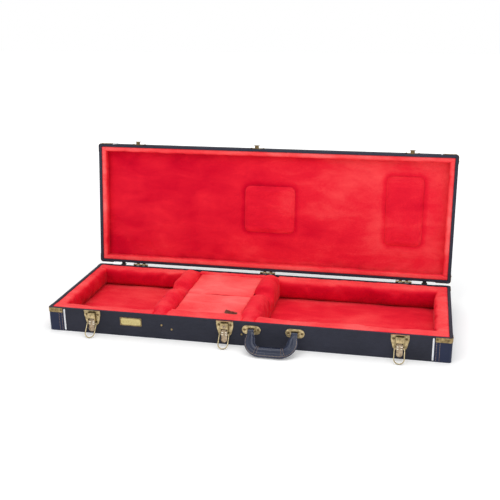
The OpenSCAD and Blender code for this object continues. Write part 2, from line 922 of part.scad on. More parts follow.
// Nails of the name plate and of the dividers
module small_nails() {
    w = name_plate_size[0] / 2 - 2.5;
    h = name_plate_size[1] / 2 - 2.5;
    color("Gold") {
        for (sx = [-1, 1], sz = [-1, 1])
            front_rivet(name_plate_at[0] + sx * w, -cover_w - 1, name_plate_at[1] + sz * h,
                1.3, 0.8, 0);
        front_rivet(head_end + 37.5, -cover_w, 39, 2.9, 1.7, 0);
        front_rivet(neck_start + 10.8, -cover_w, 28.9, 2.9, 1.7, 0);
        front_rivet(neck_end + 13, -cover_w, 31.2, 2.9, 1.7, 0);
    }
}

base_floor_panel();
base_walls();
base_bottom_cover();
base_side_cover();
base_leather_ends();
base_piping();
base_corner_brackets();
base_bracket_rivets();
lid_top_panel();
lid_walls();
lid_top_cover();
lid_side_cover();
lid_leather_ends();
lid_piping();
lid_corner_brackets();
lid_bracket_rivets();
floor_plush();
head_wall_pads();
neck_wall_pads();
body_wall_pads();
head_divider_core();
head_divider_pad();
body_divider_core();
body_divider_pad();
neck_panel_board();
neck_panel_pad();
accessory_wall();
accessory_ledge();
accessory_lid_board();
accessory_lid_pad();
pull_tab();
lid_ceiling_pad();
lid_wall_pads();
lid_neck_cushion();
lid_body_cushion();
hinge_base_leaves();
hinge_lid_leaves();
hinge_pins();
lid_stops();
stop_buttons();
latch_plates();
latch_pins();
latch_rivets();
keepers();
keeper_rivets();
lever_left();
lever_middle();
lever_right();
bail_left();
bail_middle();
bail_right();
lock_plug();
lock_bolt();
handle_plates();
handle_pins();
handle_rivets();
handle_strap();
handle_sleeve();
name_plate();
small_nails();
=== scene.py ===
"""Looks of the guitar case: coverings, leather, padding, brass, stage and camera.

Sizes are in metres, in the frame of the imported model. A piece of the lid is made as if the
lid were closed, and its object is turned open together with the lid.
"""

import json
import math

import bmesh
import bpy
import numpy as np
from mathutils import Matrix, Vector, noise


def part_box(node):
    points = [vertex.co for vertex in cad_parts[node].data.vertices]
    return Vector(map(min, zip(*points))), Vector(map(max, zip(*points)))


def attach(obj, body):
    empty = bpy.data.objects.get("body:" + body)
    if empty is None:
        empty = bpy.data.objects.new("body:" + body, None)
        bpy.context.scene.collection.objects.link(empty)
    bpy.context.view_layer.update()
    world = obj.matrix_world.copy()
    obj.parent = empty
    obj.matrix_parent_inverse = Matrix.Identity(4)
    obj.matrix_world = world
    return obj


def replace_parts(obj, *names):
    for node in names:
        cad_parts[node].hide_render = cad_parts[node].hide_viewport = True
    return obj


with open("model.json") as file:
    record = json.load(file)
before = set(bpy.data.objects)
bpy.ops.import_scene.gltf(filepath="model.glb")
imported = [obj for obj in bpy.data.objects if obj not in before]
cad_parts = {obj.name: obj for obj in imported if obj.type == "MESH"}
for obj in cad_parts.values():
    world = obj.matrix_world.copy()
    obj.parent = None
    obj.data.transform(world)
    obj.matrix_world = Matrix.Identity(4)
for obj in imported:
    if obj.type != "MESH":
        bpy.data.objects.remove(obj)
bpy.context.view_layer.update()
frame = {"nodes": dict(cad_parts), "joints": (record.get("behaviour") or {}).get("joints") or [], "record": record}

MM = 0.001
SHARP = math.radians(35)
SCENE = bpy.context.scene
JOINTS = {joint["name"]: joint for joint in frame["joints"]}

# ---- places taken from the frame ----

HINGE = Vector(JOINTS["lid_hinge"]["pos_m"])
LID_OPEN = (
    Matrix.Translation(HINGE)
    @ Matrix.Rotation(-math.radians(JOINTS["lid_hinge"]["range_deg"][1]), 4, "X")
    @ Matrix.Translation(-HINGE)
)
HANDLE_AXIS = Vector(JOINTS["handle_swing"]["pos_m"])
HANDLE_ANGLE = math.radians(54.2)
HANDLE_PLACE = Matrix.Translation(HANDLE_AXIS) @ Matrix.Rotation(-HANDLE_ANGLE, 4, "X")

COVER_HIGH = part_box("base_side_cover")[1]
LEATHER_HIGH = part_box("base_leather_ends")[1]
WOOD_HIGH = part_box("base_walls")[1]
RIM = COVER_HIGH.z
WALL = 6 * MM
INNER_X = WOOD_HIGH.x - WALL
INNER_Y = WOOD_HIGH.y - WALL
LEATHER_LENGTH = 42 * MM
LEATHER_EDGE = LEATHER_HIGH.x - LEATHER_LENGTH
PIPING_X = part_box("base_piping")[1].x - 3.2 * MM
PIPING_RADIUS = 2.3 * MM
LID_RIM = RIM + 0.4 * MM
LID_HEIGHT = 40.4 * MM  # depth of the lid and the gap at the rim
LID_TOP = RIM + LID_HEIGHT
SIDES = ("left", "middle", "right")

# ---- camera ----

CAMERA_AT = Vector((0.43243, -1.9905, 0.87842))
CAMERA_YAW = math.radians(12.58)
CAMERA_PITCH = math.radians(-18.59)
CAMERA_ROLL = math.radians(-0.65)
CAMERA_LENS = 56.94
CAMERA_SHIFT_Y = 0.0052


def make_camera():
    """Camera at the photograph's viewing angle."""
    data = bpy.data.cameras.new("camera")
    data.lens = CAMERA_LENS
    data.sensor_width = 36
    data.shift_y = CAMERA_SHIFT_Y
    data.clip_end = 40
    camera = bpy.data.objects.new("camera", data)
    SCENE.collection.objects.link(camera)
    ahead = Vector(
        (
            -math.sin(CAMERA_YAW) * math.cos(CAMERA_PITCH),
            math.cos(CAMERA_YAW) * math.cos(CAMERA_PITCH),
            math.sin(CAMERA_PITCH),
        )
    )
    right = Vector((math.cos(CAMERA_YAW), math.sin(CAMERA_YAW), 0))
    up = right.cross(ahead)
    tilted_right = math.cos(CAMERA_ROLL) * right + math.sin(CAMERA_ROLL) * up
    tilted_up = tilted_right.cross(ahead)
    turn = Matrix((tilted_right, tilted_up, -ahead)).transposed().to_4x4()
    camera.matrix_world = Matrix.Translation(CAMERA_AT) @ turn
    SCENE.camera = camera


make_camera()

# ---- node materials ----


class Graph:
    """Short way to write a material's nodes."""

    def __init__(self, name, **shader):
        self.material = bpy.data.materials.new(name)
        self.material.use_nodes = True
        self.tree = self.material.node_tree
        self.tree.nodes.clear()
        self.shader = self.node("BsdfPrincipled", **shader)
        output = self.tree.nodes.new("ShaderNodeOutputMaterial")
        self.tree.links.new(self.shader.outputs[0], output.inputs[0])
        self.place = self.node("TexCoord").outputs["Object"]

    def node(self, kind, settings=None, **inputs):
        """New node; an input is a number, a colour or another node's output."""
        made = self.tree.nodes.new("ShaderNode" + kind)
        for key, value in (settings or {}).items():
            setattr(made, key, value)
        for key, value in inputs.items():
            self.put(made.inputs[self.find(made, key)], value)
        return made

    @staticmethod
    def find(made, key):
        """Index of the first enabled input whose name matches the key."""
        wanted = key.replace("_", " ").lower()
        names = [
            i for i, s in enumerate(made.inputs) if s.name.lower() == wanted and s.enabled
        ]
        if not names:
            raise KeyError(f"{made.bl_idname} has no input {key}")
        return names[0]

    def put(self, socket, value):
        if isinstance(value, bpy.types.NodeSocket):
            self.tree.links.new(value, socket)
        elif socket.type == "RGBA" and len(value) == 3:
            socket.default_value = (*value, 1)
        else:
            socket.default_value = value

    def set(self, name, value):
        """Links or sets one of the shader's own inputs."""
        self.put(self.shader.inputs[name], value)

    def scaled(self, x, y=None, z=None):
        size = (x, x if y is None else y, x if z is None else z)
        return self.node("Mapping", Vector=self.place, Scale=size).outputs[0]

    def noise(self, vector, scale=1.0, detail=3.0, roughness=0.5, distortion=0.0):
        made = self.node("TexNoise", Vector=vector, Scale=scale, Detail=detail,
                         Roughness=roughness, Distortion=distortion)
        return made.outputs[0]

    def cells(self, vector):
        """Distance to the middle of the nearest cell: a pebbled grain."""
        made = self.node("TexVoronoi", Vector=vector, Scale=1.0, Randomness=0.9)
        return made.outputs["Distance"]

    def layers(self, vector, scale, distortion):
        """Bands that lie across Z."""
        made = self.node("TexWave", {"bands_direction": "Z"}, Vector=vector, Scale=scale,
                         Distortion=distortion, Detail=1.0, Detail_Scale=2.0)
        return made.outputs["Fac"]

    def math(self, operation, a, b=0.0, c=0.0):
        made = self.tree.nodes.new("ShaderNodeMath")
        made.operation = operation
        for socket, value in zip(made.inputs, (a, b, c)):
            self.put(socket, value)
        return made.outputs[0]

    def between(self, value, low, high, to_low=0.0, to_high=1.0):
        """Value mapped from one range to another, and kept inside it."""
        made = self.node("MapRange", Value=value)
        for name, number in zip(
            ("From Min", "From Max", "To Min", "To Max"), (low, high, to_low, to_high)
        ):
            made.inputs[name].default_value = number
        return made.outputs[0]

    def blend(self, factor, a, b):
        made = self.tree.nodes.new("ShaderNodeMix")
        made.data_type = "RGBA"
        self.put(made.inputs["Factor"], factor)
        colours = [s for s in made.inputs if s.type == "RGBA"]
        self.put(colours[0], a)
        self.put(colours[1], b)
        return [s for s in made.outputs if s.type == "RGBA"][0]

    def attribute(self, name):
        return self.node("Attribute", {"attribute_name": name}).outputs["Fac"]

    def edges(self):
        """Share of convexity: above a half on worn edges, below it in creases."""
        return self.node("NewGeometry").outputs["Pointiness"]

    def bump(self, height, distance, strength=1.0, normal=None):
        made = self.node("Bump", Height=height, Distance=distance, Strength=strength)
        if normal is not None:
            self.put(made.inputs["Normal"], normal)
        return made.outputs[0]


def plush_material():
    """Short pile, deep red to light coral by a per-point value: painted light and shade (lighter on lit and
    up-facing pieces, darker on shaded ones) mixed with the pile's own patchy tone.
    """
    g = Graph("plush", Roughness=0.92)
    g.set("Sheen Weight", 0.24)
    g.set("Sheen Roughness", 0.35)
    g.set("Sheen Tint", (1.0, 0.32, 0.30, 1))
    g.set("Specular IOR Level", 0.12)
    strokes = g.noise(g.scaled(11, 26, 30), detail=5, roughness=0.6, distortion=0.5)
    patches = g.noise(g.scaled(5.5), detail=2, distortion=0.8)
    # The per-point value is mostly painted light and shade; the noise added below is the pile's real patchy tone.
    pile_tone_and_painted_light = g.math("ADD", g.attribute("nap"), g.between(strokes, 0.3, 0.7, -0.09, 0.09))
    pile_tone_and_painted_light = g.math("ADD", pile_tone_and_painted_light, g.between(patches, 0.35, 0.65, -0.06, 0.06))
    pile = g.noise(g.scaled(620), detail=2, roughness=0.7)
    pile_tone_and_painted_light = g.math("ADD", pile_tone_and_painted_light, g.between(pile, 0.3, 0.7, -0.09, 0.09))
    ramp = g.node("ValToRGB", Fac=pile_tone_and_painted_light)
    stops = ramp.color_ramp.elements
    stops[0].position, stops[0].color = 0.0, (0.40, 0.0, 0.014, 1)
    stops[1].position, stops[1].color = 1.0, (1.0, 0.21, 0.20, 1)
    for at, colour in (
        (0.25, (0.64, 0.0005, 0.022, 1)),
        (0.5, (0.84, 0.014, 0.036, 1)),
        (0.75, (0.97, 0.075, 0.082, 1)),
    ):
        stops.new(at).color = colour
    g.set("Base Color", ramp.outputs[0])
    tufts = g.bump(g.noise(g.scaled(240, 240, 150), detail=3, roughness=0.7), 1.1 * MM, 0.5)
    g.set("Normal", g.bump(pile, 0.5 * MM, 0.5, tufts))
    return g.material


def covering_material():
    """Coarse woven cloth with a dull coating, dark grey navy."""
    g = Graph("covering", Roughness=0.55)
    g.set("Specular IOR Level", 0.22)
    threads = 1 / (1.5 * MM)
    wobble = g.noise(g.scaled(60), detail=2)
    warp = g.math("MULTIPLY", wobble, 0.9)

    def thread(axis):
        separate = g.node("SeparateXYZ", Vector=g.place).outputs[axis]
        turns = g.math("MULTIPLY_ADD", separate, threads * 2 * math.pi, warp)
        return g.math("SINE", turns)

    weave = g.math("MULTIPLY", thread("X"), thread("Z"))
    weave = g.math("ADD", weave, g.math("MULTIPLY", thread("Y"), thread("X")))
    weave = g.math("ADD", weave, g.math("MULTIPLY", thread("Y"), thread("Z")))
    slubs = g.noise(g.scaled(90, 90, 420), detail=3, roughness=0.65)
    height = g.math("ADD", weave, g.between(slubs, 0.3, 0.7, 0, 1.4))
    clouds = g.noise(g.scaled(7), detail=4, roughness=0.6)
    tone = g.math("ADD", g.between(clouds, 0.3, 0.7, 0.1, 0.55), g.between(height, -2, 3, -0.25, 0.4))
    cloth = g.blend(tone, (0.0080, 0.0090, 0.0165), (0.042, 0.044, 0.068))
    worn = g.between(g.edges(), 0.54, 0.66)
    g.set("Base Color", g.blend(g.math("MULTIPLY", worn, 0.6), cloth, (0.07, 0.10, 0.17)))
    g.set("Roughness", g.between(clouds, 0.3, 0.7, 0.46, 0.66))
    g.set("Normal", g.bump(height, 0.18 * MM, 0.6))
    return g.material


def leather_material(name, dark, light, grain, bump=0.22 * MM, roughness=(0.28, 0.5), gloss=0.25):
    """Grained leather with scuffs and lighter worn edges."""
    g = Graph(name, Roughness=0.4)
    g.set("Specular IOR Level", gloss)
    pebbles = g.cells(g.scaled(grain))
    creases = g.noise(g.scaled(grain * 0.35), detail=5, roughness=0.6, distortion=0.4)
    clouds = g.noise(g.scaled(14), detail=4, roughness=0.6)
    tone = g.math("ADD", g.between(clouds, 0.3, 0.7, 0, 0.55), g.between(pebbles, 0, 0.9, 0.0, 0.35))
    hide = g.blend(tone, dark, light)
    worn = g.math("MULTIPLY", g.between(g.edges(), 0.52, 0.62), 0.55)
    pale = tuple(min(1, 2.2 * c + 0.02) for c in light)
    g.set("Base Color", g.blend(worn, hide, pale))
    scuffs = g.noise(g.scaled(40, 40, 160), detail=5, roughness=0.7)
    g.set("Roughness", g.between(scuffs, 0.3, 0.7, *roughness))
    height = g.math("ADD", g.math("MULTIPLY", pebbles, 0.7), g.math("MULTIPLY", creases, 0.6))
    g.set("Normal", g.bump(height, bump, 0.7))
    return g.material


def metal_material(name, bright, dull, roughness, patina=0.5, rounding=0.35 * MM):
    """Plated metal: tarnish in the hollows, partly real patina and partly painted shade from ambient occlusion,
    fine scratches, edges softly rounded.
    """
    g = Graph(name, Metallic=1.0)
    clouds = g.noise(g.scaled(110), detail=5, roughness=0.65)
    specks = g.noise(g.scaled(900), detail=2, roughness=0.6)
    open_air = g.node("AmbientOcclusion", {"samples": 4}, Distance=7 * MM).outputs["AO"]
    aged = g.math("ADD", g.between(clouds, 0.38, 0.66, 0, patina), g.between(specks, 0.5, 0.75, 0, 0.2))
    aged = g.math("MINIMUM", aged, 1.0)
    plated = g.blend(aged, bright, dull)
    # Painted shade with some patina: ambient occlusion darkens hollows, and spots close to other parts, almost to
    # black.
    patina_and_painted_shade = tuple(0.22 * c for c in dull)
    g.set("Base Color", g.blend(g.between(open_air, 0.38, 0.86, 0.92, 0.0), plated, patina_and_painted_shade))
    scratches = g.noise(g.scaled(2400, 2400, 260), detail=2, roughness=0.6)
    low, high = roughness
    g.set("Roughness", g.between(g.math("ADD", clouds, g.math("MULTIPLY", scratches, 0.4)),
                                 0.5, 0.9, low, high))
    rounded = g.node("Bevel", {"samples": 6}, Radius=rounding).outputs[0]
    g.set("Normal", g.bump(g.math("ADD", specks, scratches), 0.03 * MM, 0.25, rounded))
    return g.material


def plywood_material():
    """Birch plywood: plies through the thickness, grain along the length."""
    g = Graph("plywood", Roughness=0.6)
    grain = g.noise(g.scaled(6, 90, 90), detail=5, roughness=0.6, distortion=0.5)
    plies = g.layers(g.scaled(1), 160, 0.6)
    wood = g.blend(g.between(grain, 0.3, 0.7), (0.52, 0.35, 0.19), (0.75, 0.56, 0.36))
    shade = g.math("MULTIPLY", plies, 0.35)
    g.set("Base Color", g.blend(shade, wood, (0.36, 0.22, 0.11)))
    g.set("Roughness", g.between(grain, 0.3, 0.7, 0.5, 0.75))
    g.set("Normal", g.bump(grain, 0.2 * MM, 0.4))
    return g.material


def piping_material():
    """White piping, a little soiled, with a fine grain."""
    g = Graph("piping", Roughness=0.42)
    g.set("Specular IOR Level", 0.45)
    soil = g.noise(g.scaled(35), detail=5, roughness=0.65)
    g.set("Base Color", g.blend(g.between(soil, 0.45, 0.8), (0.86, 0.87, 0.90), (0.60, 0.60, 0.62)))
    grain = g.cells(g.scaled(900))
    g.set("Roughness", g.between(soil, 0.3, 0.7, 0.34, 0.55))
    g.set("Normal", g.bump(grain, 0.08 * MM, 0.5))
    return g.material


def rubber_material():
    """Dark rubber with dust."""
    g = Graph("rubber", Roughness=0.7)
    dust = g.noise(g.scaled(160), detail=5, roughness=0.7)
    g.set("Base Color", g.blend(g.between(dust, 0.5, 0.8), (0.015, 0.015, 0.017), (0.09, 0.085, 0.08)))
    g.set("Roughness", g.between(dust, 0.3, 0.7, 0.55, 0.85))
    g.set("Normal", g.bump(dust, 0.12 * MM, 0.5))
    return g.material


def thread_material():
    """Waxed light brown thread, twisted."""
    g = Graph("thread", Roughness=0.5)
    twist = g.noise(g.scaled(1500), detail=2)
    g.set("Base Color", g.blend(g.between(twist, 0.35, 0.65), (0.26, 0.15, 0.09), (0.58, 0.42, 0.29)))
    g.set("Roughness", g.between(twist, 0.3, 0.7, 0.4, 0.65))
    g.set("Normal", g.bump(twist, 0.1 * MM, 0.6))
    return g.material


MATERIALS = {
    "plush": plush_material(),
    "covering": covering_material(),
    "navy_leather": leather_material(
        "navy_leather", (0.0035, 0.0060, 0.022), (0.009, 0.016, 0.050), 520
    ),
    "handle_leather": leather_material(
        "handle_leather", (0.011, 0.016, 0.040), (0.018, 0.026, 0.060), 900, 0.03 * MM, (0.2, 0.3),
        0.6,
    ),
    "brown_leather": leather_material(
        "brown_leather", (0.045, 0.020, 0.013), (0.15, 0.075, 0.050), 700
    ),
    "antique_brass": metal_material(
        "antique_brass", (0.62, 0.49, 0.27), (0.15, 0.105, 0.045), (0.22, 0.44), 0.8
    ),
    "dark_brass": metal_material(
        "dark_brass", (0.27, 0.19, 0.09), (0.06, 0.04, 0.02), (0.26, 0.48), 0.8
    ),
    "bracket_brass": metal_material(
        "bracket_brass", (0.42, 0.31, 0.15), (0.11, 0.075, 0.03), (0.24, 0.46), 0.8
    ),
    "bright_brass": metal_material(
        "bright_brass", (0.94, 0.86, 0.70), (0.55, 0.45, 0.30), (0.12, 0.3), 0.4
    ),
    "champagne": metal_material(
        "champagne", (0.50, 0.39, 0.27), (0.20, 0.14, 0.09), (0.18, 0.38), 0.6
    ),
    "gold": metal_material(
        "gold", (0.62, 0.53, 0.25), (0.38, 0.29, 0.11), (0.14, 0.34), 0.5
    ),
    "wire": metal_material(
        "wire", (0.62, 0.52, 0.32), (0.24, 0.18, 0.08), (0.2, 0.36), 0.6, 0.2 * MM
    ),
    "plywood": plywood_material(),
    "piping": piping_material(),
    "rubber": rubber_material(),
    "thread": thread_material(),
}
SLOT_LOOKS = dict(MATERIALS, coral_plush=MATERIALS["plush"])
WRAPPED_BOARDS = ("neck_panel_board", "accessory_lid_board")

for part in frame["record"]["subparts"]:
    look = SLOT_LOOKS[part["material_slot"]]
    if part["node"] in WRAPPED_BOARDS:
        look = MATERIALS["plush"]
    elif "rivet" in part["node"]:
        look = MATERIALS["dark_brass"]
    elif part["node"] == "small_nails":
        look = MATERIALS["bracket_brass"]
    elif part["node"] == "lock_plug":
        look = MATERIALS["champagne"]
    node = frame["nodes"][part["node"]]
    node.data.materials.clear()
    node.data.materials.append(look)

SLOT_OF_LOOK = dict(
    dark_brass="antique_brass", bracket_brass="antique_brass", champagne="bright_brass",
    gold="bright_brass",
)

# ---- mesh helpers ----


def smooth(t):
    """Eases from 0 to 1."""
    t = max(0.0, min(1.0, t))
    return t * t * (3 - 2 * t)


def piece(name, vertices, faces, look, body, place=None, rounded=True, slot=None):
    """New mesh object that rides on a body."""
    mesh = bpy.data.meshes.new(name)
    mesh.from_pydata([tuple(v) for v in vertices], [], faces)
    mesh.validate()
    mesh.update()
    mesh.materials.append(MATERIALS[look])
    made = bpy.data.objects.new(name, mesh)
    SCENE.collection.objects.link(made)
    if rounded:
        mesh.polygons.foreach_set("use_smooth", [True] * len(mesh.polygons))
    if place is not None:
        made.matrix_world = place
    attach(made, body)
    slot = slot or SLOT_OF_LOOK.get(look, look)
    return made


def node_bmesh(node, place=None):
    """A CAD node's mesh with its points merged, in the coordinates of its piece."""
    made = bmesh.new()
    made.from_mesh(frame["nodes"][node].data)
    if place is not None:
        made.transform(place.inverted())
    bmesh.ops.remove_doubles(made, verts=made.verts, dist=0.002 * MM)
    return made


def solid_boxes(node, place=None):
    """(low, high) corners of each separate solid of a CAD node."""
    made = node_bmesh(node, place)
    boxes, seen = [], set()
    for start in made.verts:
        if start in seen:
            continue
        island, front = [], [start]
        seen.add(start)
        while front:
            vertex = front.pop()
            island.append(vertex.co.copy())
            for edge in vertex.link_edges:
                other = edge.other_vert(vertex)
                if other not in seen:
                    seen.add(other)
                    front.append(other)
        points = np.array(island)
        boxes.append((points.min(0), points.max(0)))
    made.free()
    return sorted(boxes, key=lambda b: (round(b[0][0], 4), round(b[0][1], 4)))


def softened(name, node, look, body, width, place=None, chosen=None, segments=3):
    """Copy of a CAD node whose sharp edges, or the chosen ones, are rounded."""
    made = node_bmesh(node, place)
    bmesh.ops.dissolve_limit(made, angle_limit=math.radians(0.6), verts=made.verts, edges=made.edges)
    made.normal_update()
    edges = [
        e for e in made.edges
        if len(e.link_faces) == 2 and e.calc_face_angle(0) > SHARP and (chosen is None or chosen(e))
    ]
    bmesh.ops.bevel(made, geom=edges, offset=width, offset_type="OFFSET", segments=segments,
                    profile=0.5, affect="EDGES", clamp_overlap=True)
    bmesh.ops.triangulate(made, faces=[f for f in made.faces if len(f.verts) > 4])
    mesh = bpy.data.meshes.new(name)
    made.to_mesh(mesh)
    made.free()
    mesh.polygons.foreach_set("use_smooth", [True] * len(mesh.polygons))
    mesh.set_sharp_from_angle(angle=SHARP)
    mesh.materials.append(MATERIALS[look])
    copy = bpy.data.objects.new(name, mesh)
    SCENE.collection.objects.link(copy)
    if place is not None:
        copy.matrix_world = place
    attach(copy, body)
    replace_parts(copy, node)
    return copy


def outward(edge):
    """True on the outer top and bottom edges of an upright shell."""
    flat = upright = None
    for face in edge.link_faces:
        if abs(face.normal.z) > 0.9:
            flat = face
        elif abs(face.normal.z) < 0.1:
            upright = face
    if flat is None or upright is None:
        return False
    middle = (edge.verts[0].co + edge.verts[1].co) / 2
    return upright.normal.x * middle.x + upright.normal.y * middle.y > 0


def skin(rings):
    """Closed surface through rings that have equal point counts, capped at both ends."""
    count = len(rings[0])
    vertices = [p for ring in rings for p in ring]
    faces = []
    for i in range(len(rings) - 1):
        a, b = i * count, (i + 1) * count
        for k in range(count):
            n = (k + 1) % count
            faces.append((a + k, a + n, b + n, b + k))
    faces.append(tuple(reversed(range(count))))
    faces.append(tuple(range(len(vertices) - count, len(vertices))))
    return vertices, faces


def tube_rings(points, radius, sides):
    """Rings of a round tube along a path; the ends close in a dome."""
    points = [Vector(p) for p in points]
    tangents = []
    for i in range(len(points)):
        ahead = points[min(i + 1, len(points) - 1)] - points[max(i - 1, 0)]
        tangents.append(ahead.normalized())
    side = tangents[0].orthogonal().normalized()
    rings = []
    for i, (p, t) in enumerate(zip(points, tangents)):
        side = (side - t * side.dot(t)).normalized()
        up = t.cross(side)
        rings.append((p, t, side, up, radius))
    first, last = rings[0], rings[-1]
    domes = [(math.sin(a), 1 - math.cos(a)) for a in (0.25, 0.75, 1.15)]
    start = [(first[0] - first[1] * radius * (1 - d), *first[1:4], radius * max(s, 0.05))
             for s, d in domes]
    end = [(last[0] + last[1] * radius * (1 - d), *last[1:4], radius * max(s, 0.05))
           for s, d in reversed(domes)]
    rings = start + rings + end
    return [
        [
            p + r * (math.cos(a) * side + math.sin(a) * up)
            for a in (2 * math.pi * k / sides for k in range(sides))
        ]
        for p, t, side, up, r in rings
    ]


def rounded_path(corners, radius, steps=6):
    """Corner points joined by straight lines with round bends."""
    corners = [Vector(c) for c in corners]
    path = [corners[0]]
    for before, corner, after in zip(corners, corners[1:], corners[2:]):
        start = corner + (before - corner).normalized() * radius
        end = corner + (after - corner).normalized() * radius
        for k in range(steps + 1):
            t = k / steps
            path.append((1 - t) ** 2 * start + 2 * t * (1 - t) * corner + t * t * end)
    path.append(corners[-1])
    return path


def stitch_row(points, out, pitch=4.2 * MM, length=3.1 * MM, radius=0.45 * MM):
    """Short sewn stitches along a path, lying on the side that out points to."""
    vertices, faces = [], []
    points = [Vector(p) for p in points]
    lengths = [0.0]
    for a, b in zip(points, points[1:]):
        lengths.append(lengths[-1] + (b - a).length)
    count = int(lengths[-1] / pitch)
    for k in range(count):
        middle = (k + 0.5) * lengths[-1] / count
        i = max(j for j in range(len(points) - 1) if lengths[j] <= middle)
        span = max(lengths[i + 1] - lengths[i], 1e-9)
        at = points[i].lerp(points[i + 1], (middle - lengths[i]) / span)
        along = (points[i + 1] - points[i]).normalized()
        normal = out(at) if callable(out) else Vector(out)
        side = along.cross(normal).normalized()
        first = len(vertices)
        for offset, size in ((-0.5, 0.25), (-0.3, 0.9), (0, 1.05), (0.3, 0.9), (0.5, 0.25)):
            for turn in range(6):
                a = turn * math.pi / 3
                swing = math.cos(a) * side + math.sin(a) * normal
                vertices.append(at + along * offset * length + swing * radius * size)
        for r in range(4):
            for turn in range(6):
                a, b = first + 6 * r + turn, first + 6 * r + (turn + 1) % 6
                faces.append((a, b, b + 6, a + 6))
        faces.append(tuple(first + turn for turn in reversed(range(6))))
        faces.append(tuple(first + 24 + turn for turn in range(6)))
    return vertices, faces


def joined(*parts):
    """Several (vertices, faces) in one."""
    vertices, faces = [], []
    for v, f in parts:
        faces += [tuple(i + len(vertices) for i in face) for face in f]
        vertices += list(v)
    return vertices, faces


# ---- coverings, leather ends, piping and stitches ----

softened("base_side_cover_skin", "base_side_cover", "covering", "base", 1.3 * MM, None, outward)
softened("base_bottom_cover_skin", "base_bottom_cover", "covering", "base", 0.8 * MM)
softened("lid_side_cover_skin", "lid_side_cover", "covering", "lid", 1.3 * MM, LID_OPEN, outward)
softened("lid_top_cover_skin", "lid_top_cover", "covering", "lid", 0.8 * MM, LID_OPEN)
softened("base_leather", "base_leather_ends", "navy_leather", "base", 0.35 * MM, segments=2)
softened("lid_leather", "lid_leather_ends", "navy_leather", "lid", 0.35 * MM, LID_OPEN, segments=2)


def piping_cord(name, node, body, paths, place=None):
    """White piping next to the leather, with round bends."""
    bend = 2.6 * MM
    parts = [skin(tube_rings(rounded_path(path, bend), PIPING_RADIUS, 14)) for path in paths]
    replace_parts(piece(name, *joined(*parts), "piping", body, place), node)


def piping_pieces():
    """Piping round the front and rear of the base, and over the top of the lid."""
    y = COVER_HIGH.y
    tuck = 4 * MM  # the ends bend inwards by this
    foot, head = 4.5 * MM, RIM - 4.2 * MM
    low = LID_RIM + 4.0 * MM
    upright = [(y - tuck, foot), (y, foot), (y, head), (y - tuck, head)]
    over = [(-y + tuck, low), (-y, low), (-y, LID_TOP), (y, LID_TOP), (y, low), (y - tuck, low)]
    paths = [
        [(sx * PIPING_X, sy * across, z) for across, z in upright] for sx in (-1, 1) for sy in (-1, 1)
    ]
    piping_cord("base_piping_cord", "base_piping", "base", paths)
    paths = [[(sx * PIPING_X, across, z) for across, z in over] for sx in (-1, 1)]
    piping_cord("lid_piping_cord", "lid_piping", "lid", paths, LID_OPEN)


piping_pieces()


def leather_stitches():
    """Two rows of stitches beside the piping on every leather band."""
    rows = [LEATHER_EDGE + 4 * MM, LEATHER_EDGE + 12 * MM]
    face = LEATHER_HIGH.y + 0.1 * MM
    clear = 14 * MM  # the rows stop this far from the rims
    top = LID_TOP + 1.1 * MM
    base, lid = [], []
    for x in [sx * row for sx in (-1, 1) for row in rows]:
        for sy in (-1, 1):
            y, out = sy * face, (0, sy, 0)
            base.append(stitch_row([(x, y, 2 * MM), (x, y, RIM - clear)], out))
            lid.append(stitch_row([(x, y, LID_RIM + clear), (x, y, LID_TOP)], out))
        lid.append(stitch_row([(x, -face + 2 * MM, top), (x, face - 2 * MM, top)], (0, 0, 1)))
    piece("base_leather_stitches", *joined(*base), "thread", "base", slot="navy_leather")
    piece("lid_leather_stitches", *joined(*lid), "thread", "lid", LID_OPEN, slot="navy_leather")


leather_stitches()

# ---- hardware ----

HARDWARE = [
    ("base_corner_brackets", "bracket_brass", "base", 0.3, None),
    ("lid_corner_brackets", "bracket_brass", "lid", 0.3, LID_OPEN),
    ("hinge_base_leaves", "antique_brass", "base", 0.25, None),
    ("hinge_lid_leaves", "antique_brass", "lid", 0.25, LID_OPEN),
    ("lid_stops", "antique_brass", "base", 0.35, None),
    ("latch_plates", "antique_brass", "base", 0.3, None),
    ("keepers", "dark_brass", "lid", 0.3, LID_OPEN),
    ("handle_plates", "antique_brass", "base", 0.45, None),
]
HARDWARE += [(f"lever_{side}", "champagne", f"lever_{side}", 0.45, None) for side in SIDES]
for part, look, body, width, place in HARDWARE:
    softened(part + "_soft", part, look, body, width * MM, place, segments=2)


def dome(centre, size, turns=16):
    """Low oval dome standing on the xz plane, bulging towards -Y."""
    vertices, faces = [], []
    levels = ((1.0, 0.0), (0.96, 0.35), (0.8, 0.7), (0.5, 0.93), (0.2, 1.0))
    for reach, height in levels:
        for k in range(turns):
            a = 2 * math.pi * k / turns
            vertices.append(Vector(centre) + Vector(
                (size[0] * reach * math.cos(a), -size[1] * height, size[2] * reach * math.sin(a))))
    for r in range(len(levels) - 1):
        for k in range(turns):
            a, b = r * turns + k, r * turns + (k + 1) % turns
            faces.append((a, b, b + turns, a + turns))
    faces.append(tuple(range(turns))[::-1])
    last = turns * (len(levels) - 1)
    faces.append(tuple(range(last, last + turns)))
    return vertices, faces


def lever_studs():
    """Four raised studs on the face of each lever."""
    spread, size = 4.9 * MM, (3.1 * MM, 1.3 * MM, 2.1 * MM)
    upper, lower = (36.3 * MM, 0.0), (30.8 * MM, -0.55 * MM)  # height, and how far the face is set back
    for side in SIDES:
        low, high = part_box("lever_" + side)
        middle = (low.x + high.x) / 2
        face = JOINTS[f"lever_{side}_pivot"]["pos_m"][1] - 2.4 * MM
        studs = [
            dome((middle + sx * spread, face + drop, z), size)
            for sx in (-1, 1) for z, drop in (upper, lower)
        ]
        piece(f"lever_studs_{side}", *joined(*studs), "bright_brass", "lever_" + side)


lever_studs()


